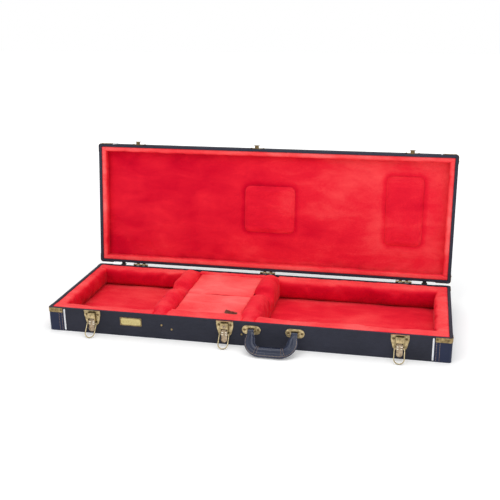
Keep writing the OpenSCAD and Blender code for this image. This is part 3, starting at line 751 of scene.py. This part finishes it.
def name_plate():
    """Blank plate with a raised border and a sunk field."""
    low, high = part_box("name_plate")
    middle = (low + high) / 2
    half_x, half_z = (high.x - low.x) / 2, (high.z - low.z) / 2
    rings = []
    steps = ((0.0, 0.0), (0.0, 0.8), (0.3, 1.1), (1.2, 1.15), (1.7, 0.8), (2.0, 0.3))
    steps += ((2.5, 0.3), (2.6, 0.6), (3.0, 0.72), (5.0, 0.75))
    for inward, depth in steps:
        hx, hz, r = half_x - inward * MM, half_z - inward * MM, max(1.6 - inward, 0.5) * MM
        ring = []
        for cx, cz, start in ((1, 1, 0), (-1, 1, 90), (-1, -1, 180), (1, -1, 270)):
            for k in range(6):
                a = math.radians(start + 18 * k)
                ring.append((middle.x + cx * (hx - r) + r * math.cos(a), high.y - depth * MM,
                             middle.z + cz * (hz - r) + r * math.sin(a)))
        rings.append(ring)
    border = piece("name_plate_border", *skin(rings[:6]), "bracket_brass", "base")
    field = piece("name_plate_field", *skin(rings[6:]), "gold", "base")
    for made in (border, field):
        made.data.set_sharp_from_angle(angle=math.radians(40))
    pins = [
        dome((middle.x + sx * (half_x - 3.4 * MM), high.y - 0.6 * MM,
              middle.z + sz * (half_z - 3.2 * MM)), (1.7 * MM, 0.9 * MM, 1.7 * MM))
        for sx in (-1, 1) for sz in (-1, 1)
    ]
    piece("name_plate_pin_heads", *joined(*pins), "dark_brass", "base")
    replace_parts(border, "name_plate")


name_plate()


def turn_in(name, body, low, high, place=None):
    """Covering turned over the rim and glued down inside the walls."""
    rings = []
    for inward, z in ((-0.3, low), (0.5, low), (0.5, high), (-0.3, high)):
        x, y = INNER_X - inward * MM, INNER_Y - inward * MM
        rings.append([(-x, -y, z), (x, -y, z), (x, y, z), (-x, y, z)])
    vertices = [point for ring in rings for point in ring]
    faces = [
        (4 * r + k, 4 * r + (k + 1) % 4, 4 * ((r + 1) % 4) + (k + 1) % 4, 4 * ((r + 1) % 4) + k)
        for r in range(4) for k in range(4)
    ]
    piece(name, vertices, faces, "covering", body, place, rounded=False)


turn_in("base_turn_in", "base", RIM - 9 * MM, RIM - 0.2 * MM)
turn_in("lid_turn_in", "lid", LID_RIM + 0.2 * MM, LID_RIM + 9 * MM, LID_OPEN)

# ---- padding ----

SIM_FRAMES = 18


def grid_box(low, high, cell, radius):
    """Closed box of small squares with rounded edges."""
    low, high = np.array(low, float), np.array(high, float)
    radius = min(radius, 0.49 * float((high - low).min()))
    counts = np.maximum(2, np.round((high - low) / cell).astype(int))
    made = bmesh.new()
    index = {}

    def vertex(i, j, k):
        if (i, j, k) not in index:
            p = low + (high - low) * np.array((i, j, k)) / counts
            core = np.clip(p, low + radius, high - radius)
            away = p - core
            reach = np.linalg.norm(away)
            if reach > 1e-9:
                p = core + away / reach * min(reach, radius)
            index[i, j, k] = made.verts.new(p)
        return index[i, j, k]

    for axis in range(3):
        u, v = [a for a in range(3) if a != axis]
        for side in (0, counts[axis]):
            for a in range(counts[u]):
                for b in range(counts[v]):
                    corner = []
                    for da, db in ((0, 0), (1, 0), (1, 1), (0, 1)):
                        at = [0, 0, 0]
                        at[axis], at[u], at[v] = side, a + da, b + db
                        corner.append(vertex(*at))
                    made.faces.new(corner)
    bmesh.ops.recalc_face_normals(made, faces=made.faces)
    made.verts.index_update()
    vertices = [tuple(v.co) for v in made.verts]
    faces = [tuple(v.index for v in f.verts) for f in made.faces]
    made.free()
    return vertices, faces


def coordinates(mesh):
    co = np.zeros(len(mesh.vertices) * 3)
    mesh.vertices.foreach_get("co", co)
    return co.reshape(-1, 3)


def normals(mesh):
    found = np.zeros(len(mesh.vertices) * 3)
    mesh.vertices.foreach_get("normal", found)
    return found.reshape(-1, 3)


def put_coordinates(mesh, co):
    mesh.vertices.foreach_set("co", co.ravel())
    mesh.update()


def inflate(made, held, pressure=4.0, cap=5 * MM, slack=-0.03):
    """Cloth under pressure from inside: the free faces swell and wrinkle.

    Held is 1 where the cloth is glued down. No point moves further than cap.
    """
    rest = coordinates(made.data)
    group = made.vertex_groups.new(name="held")
    for i in np.nonzero(held > 0.01)[0]:
        group.add([int(i)], float(held[i]), "REPLACE")
    cloth = made.modifiers.new("cloth", "CLOTH")
    cloth.settings.use_pressure = True
    cloth.settings.uniform_pressure_force = pressure
    cloth.settings.effector_weights.gravity = 0
    cloth.settings.vertex_group_mass = "held"
    cloth.settings.shrink_min = slack
    cloth.settings.quality = 4
    cloth.settings.mass = 0.3
    cloth.settings.tension_stiffness = 12
    cloth.settings.compression_stiffness = 12
    cloth.settings.bending_stiffness = 0.4
    cloth.point_cache.frame_start = 1
    cloth.point_cache.frame_end = SIM_FRAMES + 1
    for at in range(1, SIM_FRAMES + 1):
        SCENE.frame_set(at)
    graph = bpy.context.evaluated_depsgraph_get()
    moved = coordinates(made.evaluated_get(graph).data)
    made.modifiers.clear()
    made.vertex_groups.clear()
    SCENE.frame_set(1)
    shift = moved - rest
    length = np.linalg.norm(shift, axis=1, keepdims=True)
    shift *= cap * np.tanh(length / cap) / np.maximum(length, 1e-9)
    put_coordinates(made.data, rest + shift)


def folds(co, scale, seed, stretch=(1, 1, 1)):
    """Smooth random height from -1 to 1 at each point."""
    size = np.array(stretch) * scale
    offset = Vector((seed * 3.7, seed * 1.3, seed * 2.1))
    return np.array([noise.noise(Vector(p * size) + offset) for p in co])


def creases(co, scale, seed, stretch=(1, 1, 1)):
    """Narrow valleys: 0 nearly everywhere, down to -1 along thin lines."""
    return -np.exp(-np.abs(folds(co, scale, seed, stretch)) * 14)


def finish_pad(made, free, wave=1.0 * MM, crease=1.2 * MM, seed=1, nap=0.5, up=0.25,
               stretch=(1, 1, 1), side=0.0):
    """Hand-shaped folds on the free parts, a per-point colour value that paints light and shade (with some real
    pile tone), and one subdivision.
    """
    co, out = coordinates(made.data), normals(made.data)
    height = wave * folds(co, 22, seed, stretch) + 0.5 * wave * folds(co, 55, seed + 5, stretch)
    height += crease * creases(co, 9, seed + 9, stretch) * np.clip(folds(co, 14, seed + 2) * 3, 0, 1)
    co = co + out * (height * free)[:, None]
    put_coordinates(made.data, co)
    # Painted light and shade: the per-piece base tone is low on shaded pieces and high on lit ones, and up
    # lightens faces that point up (darkens them when negative); the noise term is the pile's real patchy tone.
    value = nap + up * np.clip(out[:, 2], -1, 1) + 0.1 * folds(co, 12, seed + 20)
    # Painted light: side makes the piece lighter towards +X.
    value += side * co[:, 0] / INNER_X
    attribute = made.data.attributes.new("nap", "FLOAT", "POINT")
    attribute.data.foreach_set("value", value.astype(np.float32))
    divide = made.modifiers.new("subdivision", "SUBSURF")
    divide.levels = divide.render_levels = 1


def settle(made, low=None, high=None):
    """Keeps a soft piece between two heights, easing into them."""
    co = coordinates(made.data)
    ease = 1.5 * MM
    if high is not None:
        over = co[:, 2] - (high - ease)
        co[:, 2] = np.where(over > 0, high - ease + ease * np.tanh(over / ease), co[:, 2])
    if low is not None:
        under = (low + ease) - co[:, 2]
        co[:, 2] = np.where(under > 0, low + ease - ease * np.tanh(under / ease), co[:, 2])
    put_coordinates(made.data, co)


def shell_hold(co, floor=10 * MM, ceiling=None, reach=2.5 * MM):
    """1 on the points against the walls, the floor or the lid's top, 0 elsewhere."""
    against = np.maximum(np.abs(co[:, 0]) - (INNER_X - reach), np.abs(co[:, 1]) - (INNER_Y - reach))
    if ceiling is None:
        against = np.maximum(against, floor + reach - co[:, 2])
    else:
        against = np.maximum(against, co[:, 2] - (ceiling - reach))
    return np.clip(against / (0.6 * reach) + 0.5, 0, 1)


def box_pad(name, node, body, place=None, cell=7 * MM, radius=5 * MM, inset=0.8 * MM, cap=4 * MM,
            fill=0.6, hold=None, limits=(None, None), pressure=4.0, slack=-0.03, tuck=4 * MM,
            neighbour=4 * MM, tucked=(True, True), rise=(0.0, 0.0), **look):
    """A CAD node of plain blocks as sewn pads that swell between their held sides.

    Along the tucked axes a pad runs a little into the walls and into its neighbours.
    """
    parts = []
    for low, high in solid_boxes(node, place):
        inset_now = min(inset, 0.12 * float((high - low).min()))
        low, high = low + inset_now, high - inset_now
        below, above = rise
        for axis in (0, 1):
            wall = (INNER_X, INNER_Y)[axis]
            if tucked[axis]:
                low[axis] -= tuck if low[axis] < 4 * MM - wall else neighbour
                high[axis] += tuck if high[axis] > wall - 4 * MM else neighbour
        low[2] -= below
        high[2] += above
        vertices, faces = grid_box(low, high, cell, radius)
        inside = np.array((INNER_X, INNER_Y, 1.0)) + 0.4 * MM
        parts.append((np.clip(vertices, -inside, inside), faces))
    slot = look.pop("slot", "plush")
    made = piece(name, *joined(*parts), "plush", body, place, slot=slot)
    held = (hold or shell_hold)(coordinates(made.data))
    inflate(made, held, pressure, cap, slack)
    finish_pad(made, 1 - held, **look)
    settle(made, *limits)
    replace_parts(made, node)
    return made


PAD_TOP = RIM + 1.0 * MM
LID_PAD_LOW = LID_RIM + 0.9 * MM
LID_PAD_TOP = LID_TOP - 14 * MM
CEILING_BACK = LID_TOP - 7 * MM
CEILING_FACE = LID_TOP - 11 * MM
PANEL_PAD_FOOT = 55.8 * MM


def wall_pad(name, node, seed, **look):
    """Padded wall of the base: a little above the rim, and run into its neighbours."""
    box_pad(name, node, "base", seed=seed, up=0.5, limits=(None, PAD_TOP), slot="coral_plush",
            neighbour=11 * MM, rise=(0.0, 1.2 * MM), **look)


# The base tones and up values given to the pads paint light and shade into the plush: walls get low tones
# (shaded), floors and panels higher ones (lit), and up lightens faces that point up.
wall_pad("headstock_wall_padding", "head_wall_pads", 2, cap=5 * MM, nap=0.22, wave=1.6 * MM,
         crease=2.6 * MM)
wall_pad("neck_wall_padding", "neck_wall_pads", 3, nap=0.25, wave=1.2 * MM)
wall_pad("body_wall_padding", "body_wall_pads", 4, cap=5 * MM, nap=0.22, wave=1.6 * MM,
         crease=2.4 * MM)
box_pad("lid_wall_padding", "lid_wall_pads", "lid", LID_OPEN, cell=6 * MM, radius=3.6 * MM,
        cap=2 * MM, seed=5, nap=0.42, up=-0.35, wave=0.7 * MM, crease=0.8 * MM, fill=0.8,
        hold=lambda co: shell_hold(co, ceiling=LID_PAD_TOP), limits=(LID_PAD_LOW, None),
        slot="coral_plush", rise=(1.0 * MM, 2 * MM))


def lay_flat(low, thickness):
    """Holds the underside of a thin pad."""
    return lambda co: np.clip((low + 0.45 * thickness - co[:, 2]) / (0.2 * thickness), 0, 1)


FLOOR_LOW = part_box("floor_plush")[0]
box_pad("floor_lining", "floor_plush", "base", cell=10 * MM, radius=1.4 * MM, inset=0.3 * MM,
        cap=1 * MM, seed=6, nap=0.42, up=0.12, wave=0.8 * MM, crease=0.5 * MM, fill=0.3,
        hold=lay_flat(FLOOR_LOW.z, 3 * MM), pressure=1.0)


def panel_hold(co):
    """Holds the underside of the two neck panel pads."""
    return np.clip((PANEL_PAD_FOOT - co[:, 2]) / (1 * MM), 0, 1)


for pad_name, pad_node, pad_body, pad_seed in (
    ("neck_panel_padding", "neck_panel_pad", "base", 7),
    ("accessory_lid_padding", "accessory_lid_pad", "accessory_lid", 8),
):
    box_pad(pad_name, pad_node, pad_body, cell=6 * MM, radius=2.2 * MM, inset=0.3 * MM,
            cap=1.8 * MM, seed=pad_seed, nap=0.62, up=0.25, wave=0.9 * MM, crease=0.7 * MM,
            hold=panel_hold, pressure=1.5, slack=-0.01, slot="coral_plush",
            neighbour=1.5 * MM, tucked=(pad_body == "base", False))

for part, seed, swell, wave, crease in (("wall", 9, 0.6, 0.4, 0.3), ("ledge", 10, 0.5, 0.3, 0.2)):
    box_pad(f"accessory_{part}_lining", f"accessory_{part}", "base", radius=1.8 * MM,
            tucked=(True, False), inset=0.2 * MM, cap=swell * MM, seed=seed, nap=0.3,
            wave=wave * MM, crease=crease * MM, fill=0.3, pressure=swell)


def ceiling_hold(co):
    """Holds the side of the ceiling lining that lies on the wood."""
    return np.clip((co[:, 2] - (CEILING_BACK - 4.2 * MM)) / (1.5 * MM), 0, 1)


def press_round(made, node):
    """Draws the ceiling lining in around a cushion, and paints shade into the groove there by lowering its colour
    value.
    """
    (low, high), = solid_boxes(node, LID_OPEN)
    co = coordinates(made.data)
    corner = 15 * MM
    middle, half = (low + high) / 2, (high - low) / 2 - corner
    away = np.abs(co[:, :2] - middle[:2]) - half[:2]
    reach = np.linalg.norm(np.maximum(away, 0), axis=1) + np.minimum(away.max(1), 0) - corner
    groove = np.exp(-((reach / (8 * MM)) ** 2)) * (co[:, 2] < CEILING_FACE)
    co[:, 2] += groove * 2.2 * MM
    put_coordinates(made.data, co)
    # Painted shade: the groove round the cushion is made darker.
    data = made.data.attributes["nap"].data
    value = np.zeros(len(data), np.float32)
    data.foreach_get("value", value)
    data.foreach_set("value", (value - 0.22 * groove).astype(np.float32))


# side paints light across the ceiling lining, lighter towards +X.
ceiling = box_pad(
    "lid_ceiling_lining", "lid_ceiling_pad", "lid", LID_OPEN, cell=7 * MM, radius=2.5 * MM,
    inset=0.4 * MM, cap=1.6 * MM, seed=12, nap=0.4, up=-0.05, wave=1.1 * MM, crease=1.2 * MM,
    hold=ceiling_hold, fill=0.4, pressure=0.8, side=0.16,
)
press_round(ceiling, "lid_neck_cushion")
press_round(ceiling, "lid_body_cushion")


def cushion(name, node, seed, nap):
    """Flat cushion with soft rounded corners, sunk into the ceiling lining."""
    (low, high), = solid_boxes(node, LID_OPEN)
    depth = high[2] - low[2]
    half = (high - low)[:2] / 2
    middle = (high + low)[:2] / 2
    corner = 17 * MM
    steps, ring_count = 12, 96
    rings = []
    profile = [
        (t * 12 * MM, 1.15 - 1.15 * math.sin(math.pi / 2 * t) ** 0.8)
        for t in (0.0, 0.12, 0.25, 0.4, 0.6, 0.8, 1.0)
    ]
    inner = [(13 * MM + k * (min(half) - 13 * MM) / steps, -0.05) for k in range(steps)]
    for inward, level in profile + inner:
        inward = min(inward, min(half) - 1 * MM)
        hx, hy = half[0] - inward, half[1] - inward
        r = max(corner - inward, 0.6 * min(hx, hy) if inward > corner else corner * 0.25)
        r = min(r, hx, hy)
        ring = []
        for k in range(ring_count):
            a = 2 * math.pi * k / ring_count
            c, s = math.cos(a), math.sin(a)
            scale = 1 / max(abs(c) / hx, abs(s) / hy)
            p = np.array((c * scale, s * scale))
            core = np.clip(p, (-(hx - r), -(hy - r)), (hx - r, hy - r))
            away = p - core
            reach = np.linalg.norm(away)
            if reach > r:
                p = core + away / reach * r
            ring.append((middle[0] + p[0], middle[1] + p[1], low[2] + depth * level + 0.8 * MM))
        rings.append(ring)
    made = piece(name, *skin(rings), "plush", "lid", LID_OPEN)
    co = coordinates(made.data)
    held = np.clip((co[:, 2] - (high[2] - 0.5 * depth)) / (0.3 * depth), 0, 1)
    inflate(made, held, 1.5, 1.6 * MM, -0.01)
    # The last two numbers paint light and shade: the cushion's base tone, and slight shade on its up-facing faces.
    finish_pad(made, 1 - held, 0.8 * MM, 1.0 * MM, seed, nap, -0.04)
    settle(made, low=low[2] - 0.8 * MM)
    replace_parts(made, node)


cushion("neck_cushion_padding", "lid_neck_cushion", 14, 0.52)
cushion("body_cushion_padding", "lid_body_cushion", 15, 0.5)


def divider(name, node, seed):
    """Padded roll over a board: round top, saddle for the neck, lower at its ends."""
    low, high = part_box(node)
    half = (high.x - low.x) / 2
    middle = (high.x + low.x) / 2
    notch_y, notch_half, notch_floor = 12 * MM, 25 * MM, 60 * MM
    end_top, end_ramp = 64 * MM, 49 * MM
    rows, arc = 64, 18
    rings = []
    for i in range(rows + 1):
        y = low.y + (high.y - low.y) * i / rows
        y_end = min(y - low.y, high.y - y)
        top = end_top + (high.z - 1.5 * MM - end_top) * smooth(y_end / end_ramp)
        dip = max(0.0, 1 - abs(y - notch_y) / (notch_half + 14 * MM))
        notch = smooth(min(1, 1.75 * dip))
        top -= (top - notch_floor) * notch
        rise = min(half, top - 34 * MM)
        square = 0.9 - 0.5 * (1 - smooth(y_end / (24 * MM)))
        pinch = 1 - 0.012 * notch
        if y_end < 3 * MM:
            pinch *= 0.985
        ring = []
        for k in range(arc + 1):
            a = math.pi * k / arc
            x = half * pinch * math.copysign(abs(math.cos(a)) ** square, math.cos(a))
            ring.append((middle - x, y, top - rise + rise * max(math.sin(a), 0.0) ** square))
        wall = [(0.985, 0.75), (0.97, 0.5), (0.985, 0.25), (1.0, 0.0)]
        base_z = low.z + 0.3 * MM
        shoulder = top - rise
        levels = [(half * pinch * w, base_z + (shoulder - base_z) * h) for w, h in wall]
        right = [(middle + reach, y, z) for reach, z in levels]
        left = [(middle - reach, y, z) for reach, z in reversed(levels)]
        ring = ring + right + [(middle + half * s, y, base_z) for s in (0.5, 0.0, -0.5)] + left
        rings.append(ring)
    made = piece(name, *skin(rings), "plush", "base")
    co = coordinates(made.data)
    held = np.clip((16 * MM - co[:, 2]) / (4 * MM), 0, 1)
    held = np.maximum(held, (np.abs(co[:, 1]) > INNER_Y - 2 * MM).astype(float))
    near = np.exp(-(((co[:, 1] - notch_y) / (12 * MM)) ** 2))
    near = near * (co[:, 2] < 62 * MM) * (co[:, 2] > 56 * MM)
    inflate(made, np.maximum(held, near), 3.0, 3.5 * MM, -0.05)
    co, out = coordinates(made.data), normals(made.data)
    pleats = folds(co, 30, seed + 3, (0.7, 2.2, 0.5)) * np.exp(
        -(((co[:, 1] - notch_y) / (48 * MM)) ** 2)
    )
    put_coordinates(made.data, co + out * (pleats * (1 - held) * 2.0 * MM)[:, None])
    # The last two numbers paint light: the roll's base tone, and extra light on its up-facing faces.
    finish_pad(made, 1 - held, 1.6 * MM, 2.2 * MM, seed, 0.38, 0.24)
    settle(made, high=high.z + 0.4 * MM)
    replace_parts(made, node)


divider("headstock_divider_roll", "head_divider_pad", 16)
divider("body_divider_roll", "body_divider_pad", 17)


def tab():
    """Leather pull tab, folded and stitched down, lying on the accessory lid."""
    low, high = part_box("pull_tab")
    centre = (low + high) / 2
    half_x, half_y = (high.x - low.x) / 2, (high.y - low.y) / 2
    rows, columns = 16, 8
    top, bottom = [], []
    for i in range(rows + 1):
        u = -1 + 2 * i / rows
        for k in range(columns + 1):
            v = -1 + 2 * k / columns
            narrow = 1 - 0.35 * max(0, u) ** 2
            bend = (3.0 * max(0, -u) ** 2 + 0.6 * math.sin(9 * u) + 0.6) * MM
            lift = 0.4 * MM * (1 - v * v)
            x, y = centre.x + half_x * u, centre.y + half_y * 0.8 * v * narrow - 0.3 * half_y * u
            top.append((x, y, low.z + 1.9 * MM + bend + lift))
            bottom.append((x, y, low.z + 0.1 * MM + bend))
    width = columns + 1
    offset = len(top)
    faces = []
    for i in range(rows):
        for k in range(columns):
            a = i * width + k
            faces.append((a, a + width, a + width + 1, a + 1))
            faces.append((offset + a, offset + a + 1, offset + a + width + 1, offset + a + width))
    rim = (
        list(range(columns))
        + [i * width + columns for i in range(rows)]
        + [rows * width + k for k in range(columns, 0, -1)]
        + [i * width for i in range(rows, 0, -1)]
    )
    for a, b in zip(rim, rim[1:] + rim[:1]):
        faces.append((a, b, offset + b, offset + a))
    made = piece("pull_tab_leather", top + bottom, faces, "brown_leather", "accessory_lid")
    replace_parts(made, "pull_tab")
    x, z = centre.x - half_x * 0.8, low.z + 2.4 * MM
    ends = [(x, centre.y - 2.6 * MM, z), (x, centre.y + 2.6 * MM, z)]
    seam = stitch_row(ends, (0, 0, 1), 2.4 * MM, 1.8 * MM, 0.35 * MM)
    piece("pull_tab_stitches", *seam, "thread", "accessory_lid", slot="brown_leather")


tab()

# ---- handle ----


def handle():
    """Leather handle: flat welt with a padded core, a wrapped grip and stitched seams."""
    half_span = 56.4 * MM
    bend_x, bend_z, bend_mid = 24.4 * MM, -28 * MM, 30 * MM
    path = [Vector((half_span, 0, 0.5 * MM))]
    for k in range(1, 9):
        t = k / 8
        path.append(Vector((half_span + (bend_x + bend_mid - half_span) * smooth(t), 0, bend_z * t)))
    for k in range(1, 17):
        a = -math.pi / 2 * k / 16
        path.append(Vector((bend_x + bend_mid * math.cos(a), 0, bend_z + bend_mid * math.sin(a))))
    for k in range(1, 9):
        path.append(Vector((bend_x * (1 - k / 8), 0, bend_z - bend_mid)))
    path += [Vector((-p.x, 0, p.z)) for p in reversed(path[:-1])]
    distance = [0.0]
    for a, b in zip(path, path[1:]):
        distance.append(distance[-1] + (b - a).length)
    total = distance[-1]

    def frame_at(i):
        """Direction across the strap, out of its loop."""
        along = (path[min(i + 1, len(path) - 1)] - path[max(i - 1, 0)]).normalized()
        out = Vector((along.z, 0, -along.x))
        if out.dot(path[i] - Vector((0, 0, bend_z))) < 0:
            out = -out
        return out

    def width(s):
        """Full width of the strap, narrower at its ends."""
        from_end = min(s, total - s)
        return 16 * MM + 12 * MM * smooth(from_end / (30 * MM))

    def section(i, half_width, core, welt, core_at, grow=0.0):
        """Closed outline across the strap: a round core inside and a flat welt outside."""
        out = frame_at(i)
        ring = []
        count = 40
        for k in range(count):
            a = 2 * math.pi * k / count
            across = -math.cos(a) * (half_width + grow)
            side = math.sin(a)
            edge = max(0.0, 1 - abs(across / (half_width + grow)) ** 6) ** 0.5
            body = max(0.0, 1 - ((across - core_at) / core) ** 2) ** 0.5 * core
            thick = max(welt * edge, body * edge) if edge > 0 else 0
            off = math.copysign(thick + grow * 0.6, side) if abs(side) > 1e-6 else 0
            ring.append(path[i] + out * across + Vector((0, off, 0)))
        return ring

    rings = []
    for i in range(len(path)):
        s = distance[i]
        from_end = min(s, total - s)
        w = width(s) / 2
        core = 2.5 * MM + 4.0 * MM * smooth((from_end - 6 * MM) / (18 * MM))
        core_at = -w + core + 2.6 * MM * smooth((from_end - 6 * MM) / (18 * MM))
        core_at = core_at * smooth((from_end - 2 * MM) / (20 * MM))
        rings.append(section(i, w, core, 2.0 * MM, core_at))
    strap = piece("handle_leather_strap", *skin(rings), "handle_leather", "handle", HANDLE_PLACE,
                  slot="navy_leather")
    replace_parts(strap, "handle_strap")
    loops = []
    for sx in (-1, 1):
        centres = [(sx * half_span + u * MM, 0, 0) for u in (-8, -7.4, -4, 0, 4, 7.4, 8)]
        sizes = [3.4, 4.1, 4.3, 4.3, 4.3, 4.1, 3.4]
        loop = [
            [
                Vector(c) + Vector((0, math.cos(a), math.sin(a))) * r * MM
                for a in (2 * math.pi * k / 20 for k in range(20))
            ]
            for c, r in zip(centres, sizes)
        ]
        loops.append(skin(loop))
    piece("handle_loops", *joined(*loops), "handle_leather", "handle", HANDLE_PLACE,
          slot="navy_leather")

    grip_half = 37 * MM
    rings = []
    middle = total / 2
    for i in range(len(path)):
        along = distance[i] - middle
        if abs(along) > grip_half:
            continue
        near_end = smooth((grip_half - abs(along)) / (4 * MM))
        crown = 1 + 0.08 * math.cos(math.pi * along / (2 * grip_half))
        rings.append(section(i, 14.6 * MM, (6.2 + 1.6 * near_end) * MM * crown,
                             (2.9 + 1.0 * near_end) * MM, -5.2 * MM, grow=0.2 * MM))
    sleeve = piece("handle_grip_sleeve", *skin(rings), "handle_leather", "handle", HANDLE_PLACE,
                   slot="navy_leather")
    divide = sleeve.modifiers.new("subdivision", "SUBSURF")
    divide.levels = divide.render_levels = 1
    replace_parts(sleeve, "handle_sleeve")

    seams = []
    for side in (-1, 1):
        line = []
        for i in range(len(path)):
            if distance[i] < 12 * MM or distance[i] > total - 12 * MM:
                continue
            inside = abs(distance[i] - middle) < grip_half + 1 * MM
            lift = 4.2 * MM if inside else 2.35 * MM
            line.append(path[i] + frame_at(i) * (width(distance[i]) / 2 - 2.6 * MM)
                        + Vector((0, side * lift, 0)))
        seams.append(stitch_row(line, (0, side, 0), 3.6 * MM, 2.6 * MM, 0.4 * MM))
        for sx in (-1, 1):
            for back in (2.2 * MM, 7.5 * MM):
                target = middle + sx * (grip_half - back)
                i = min(range(len(path)), key=lambda n: abs(distance[n] - target))
                out = frame_at(i)
                cross = []
                for k in range(9):
                    across = (-12.5 + 25 * k / 8) * MM
                    body = max(0.0, 1 - ((across + 5.2 * MM) / (8.0 * MM)) ** 2) ** 0.5 * 8.0 * MM
                    lift = max(4.1 * MM, body) + 0.15 * MM
                    cross.append(path[i] + out * across + Vector((0, side * lift, 0)))
                seams.append(stitch_row(cross, (0, side, 0), 3.4 * MM, 2.5 * MM, 0.42 * MM))
    piece("handle_stitches", *joined(*seams), "thread", "handle", HANDLE_PLACE,
          slot="navy_leather")


handle()

# ---- stage and light ----


def area_light(name, at, target, size, power):
    data = bpy.data.lights.new(name, "AREA")
    data.shape = "RECTANGLE"
    data.size, data.size_y = size
    data.energy = power
    lamp = bpy.data.objects.new(name, data)
    lamp.location = at
    lamp.rotation_euler = (Vector(target) - Vector(at)).to_track_quat("-Z", "Y").to_euler()
    SCENE.collection.objects.link(lamp)


def stage():
    mesh = bpy.data.meshes.new("floor")
    reach = 9
    mesh.from_pydata([(-reach, -reach, 0), (reach, -reach, 0), (reach, reach, 0), (-reach, reach, 0)],
                     [], [(0, 1, 2, 3)])
    g = Graph("paper", Roughness=0.9)
    fibres = g.noise(g.scaled(60), detail=3)
    g.set("Base Color", g.blend(fibres, (0.90, 0.90, 0.90), (0.93, 0.93, 0.93)))
    from_middle = g.node("VectorMath", {"operation": "LENGTH"}, Vector=g.place).outputs["Value"]
    # Painted light: the floor glows, weakly near the middle and more further out, to brighten the backdrop and
    # lift the shading on the floor.
    g.set("Emission Color", (1, 1, 1))
    g.set("Emission Strength", g.between(from_middle, 0.4, 2.4, 0.2, 0.6))
    mesh.materials.append(g.material)
    floor = bpy.data.objects.new("floor", mesh)
    SCENE.collection.objects.link(floor)
    world = bpy.data.worlds.new("studio")
    world.use_nodes = True
    tree = world.node_tree
    path = tree.nodes.new("ShaderNodeLightPath")
    strength = tree.nodes.new("ShaderNodeMapRange")
    strength.inputs["To Min"].default_value = 0.66
    strength.inputs["To Max"].default_value = 1.0
    tree.links.new(path.outputs["Is Camera Ray"], strength.inputs["Value"])
    tree.links.new(strength.outputs[0], tree.nodes["Background"].inputs["Strength"])
    tree.nodes["Background"].inputs["Color"].default_value = (1, 1, 1, 1)
    SCENE.world = world
    area_light("key", (-0.9, -1.6, 2.2), (0, 0, 0), (1.6, 1.2), 15)
    area_light("top", (0.3, 0.2, 2.4), (0, 0, 0), (2.4, 1.4), 15)
    area_light("fill", (1.8, -1.4, 1.3), (0, 0, 0.1), (1.2, 1.2), 5)
    SCENE.view_settings.view_transform = "Standard"


stage()
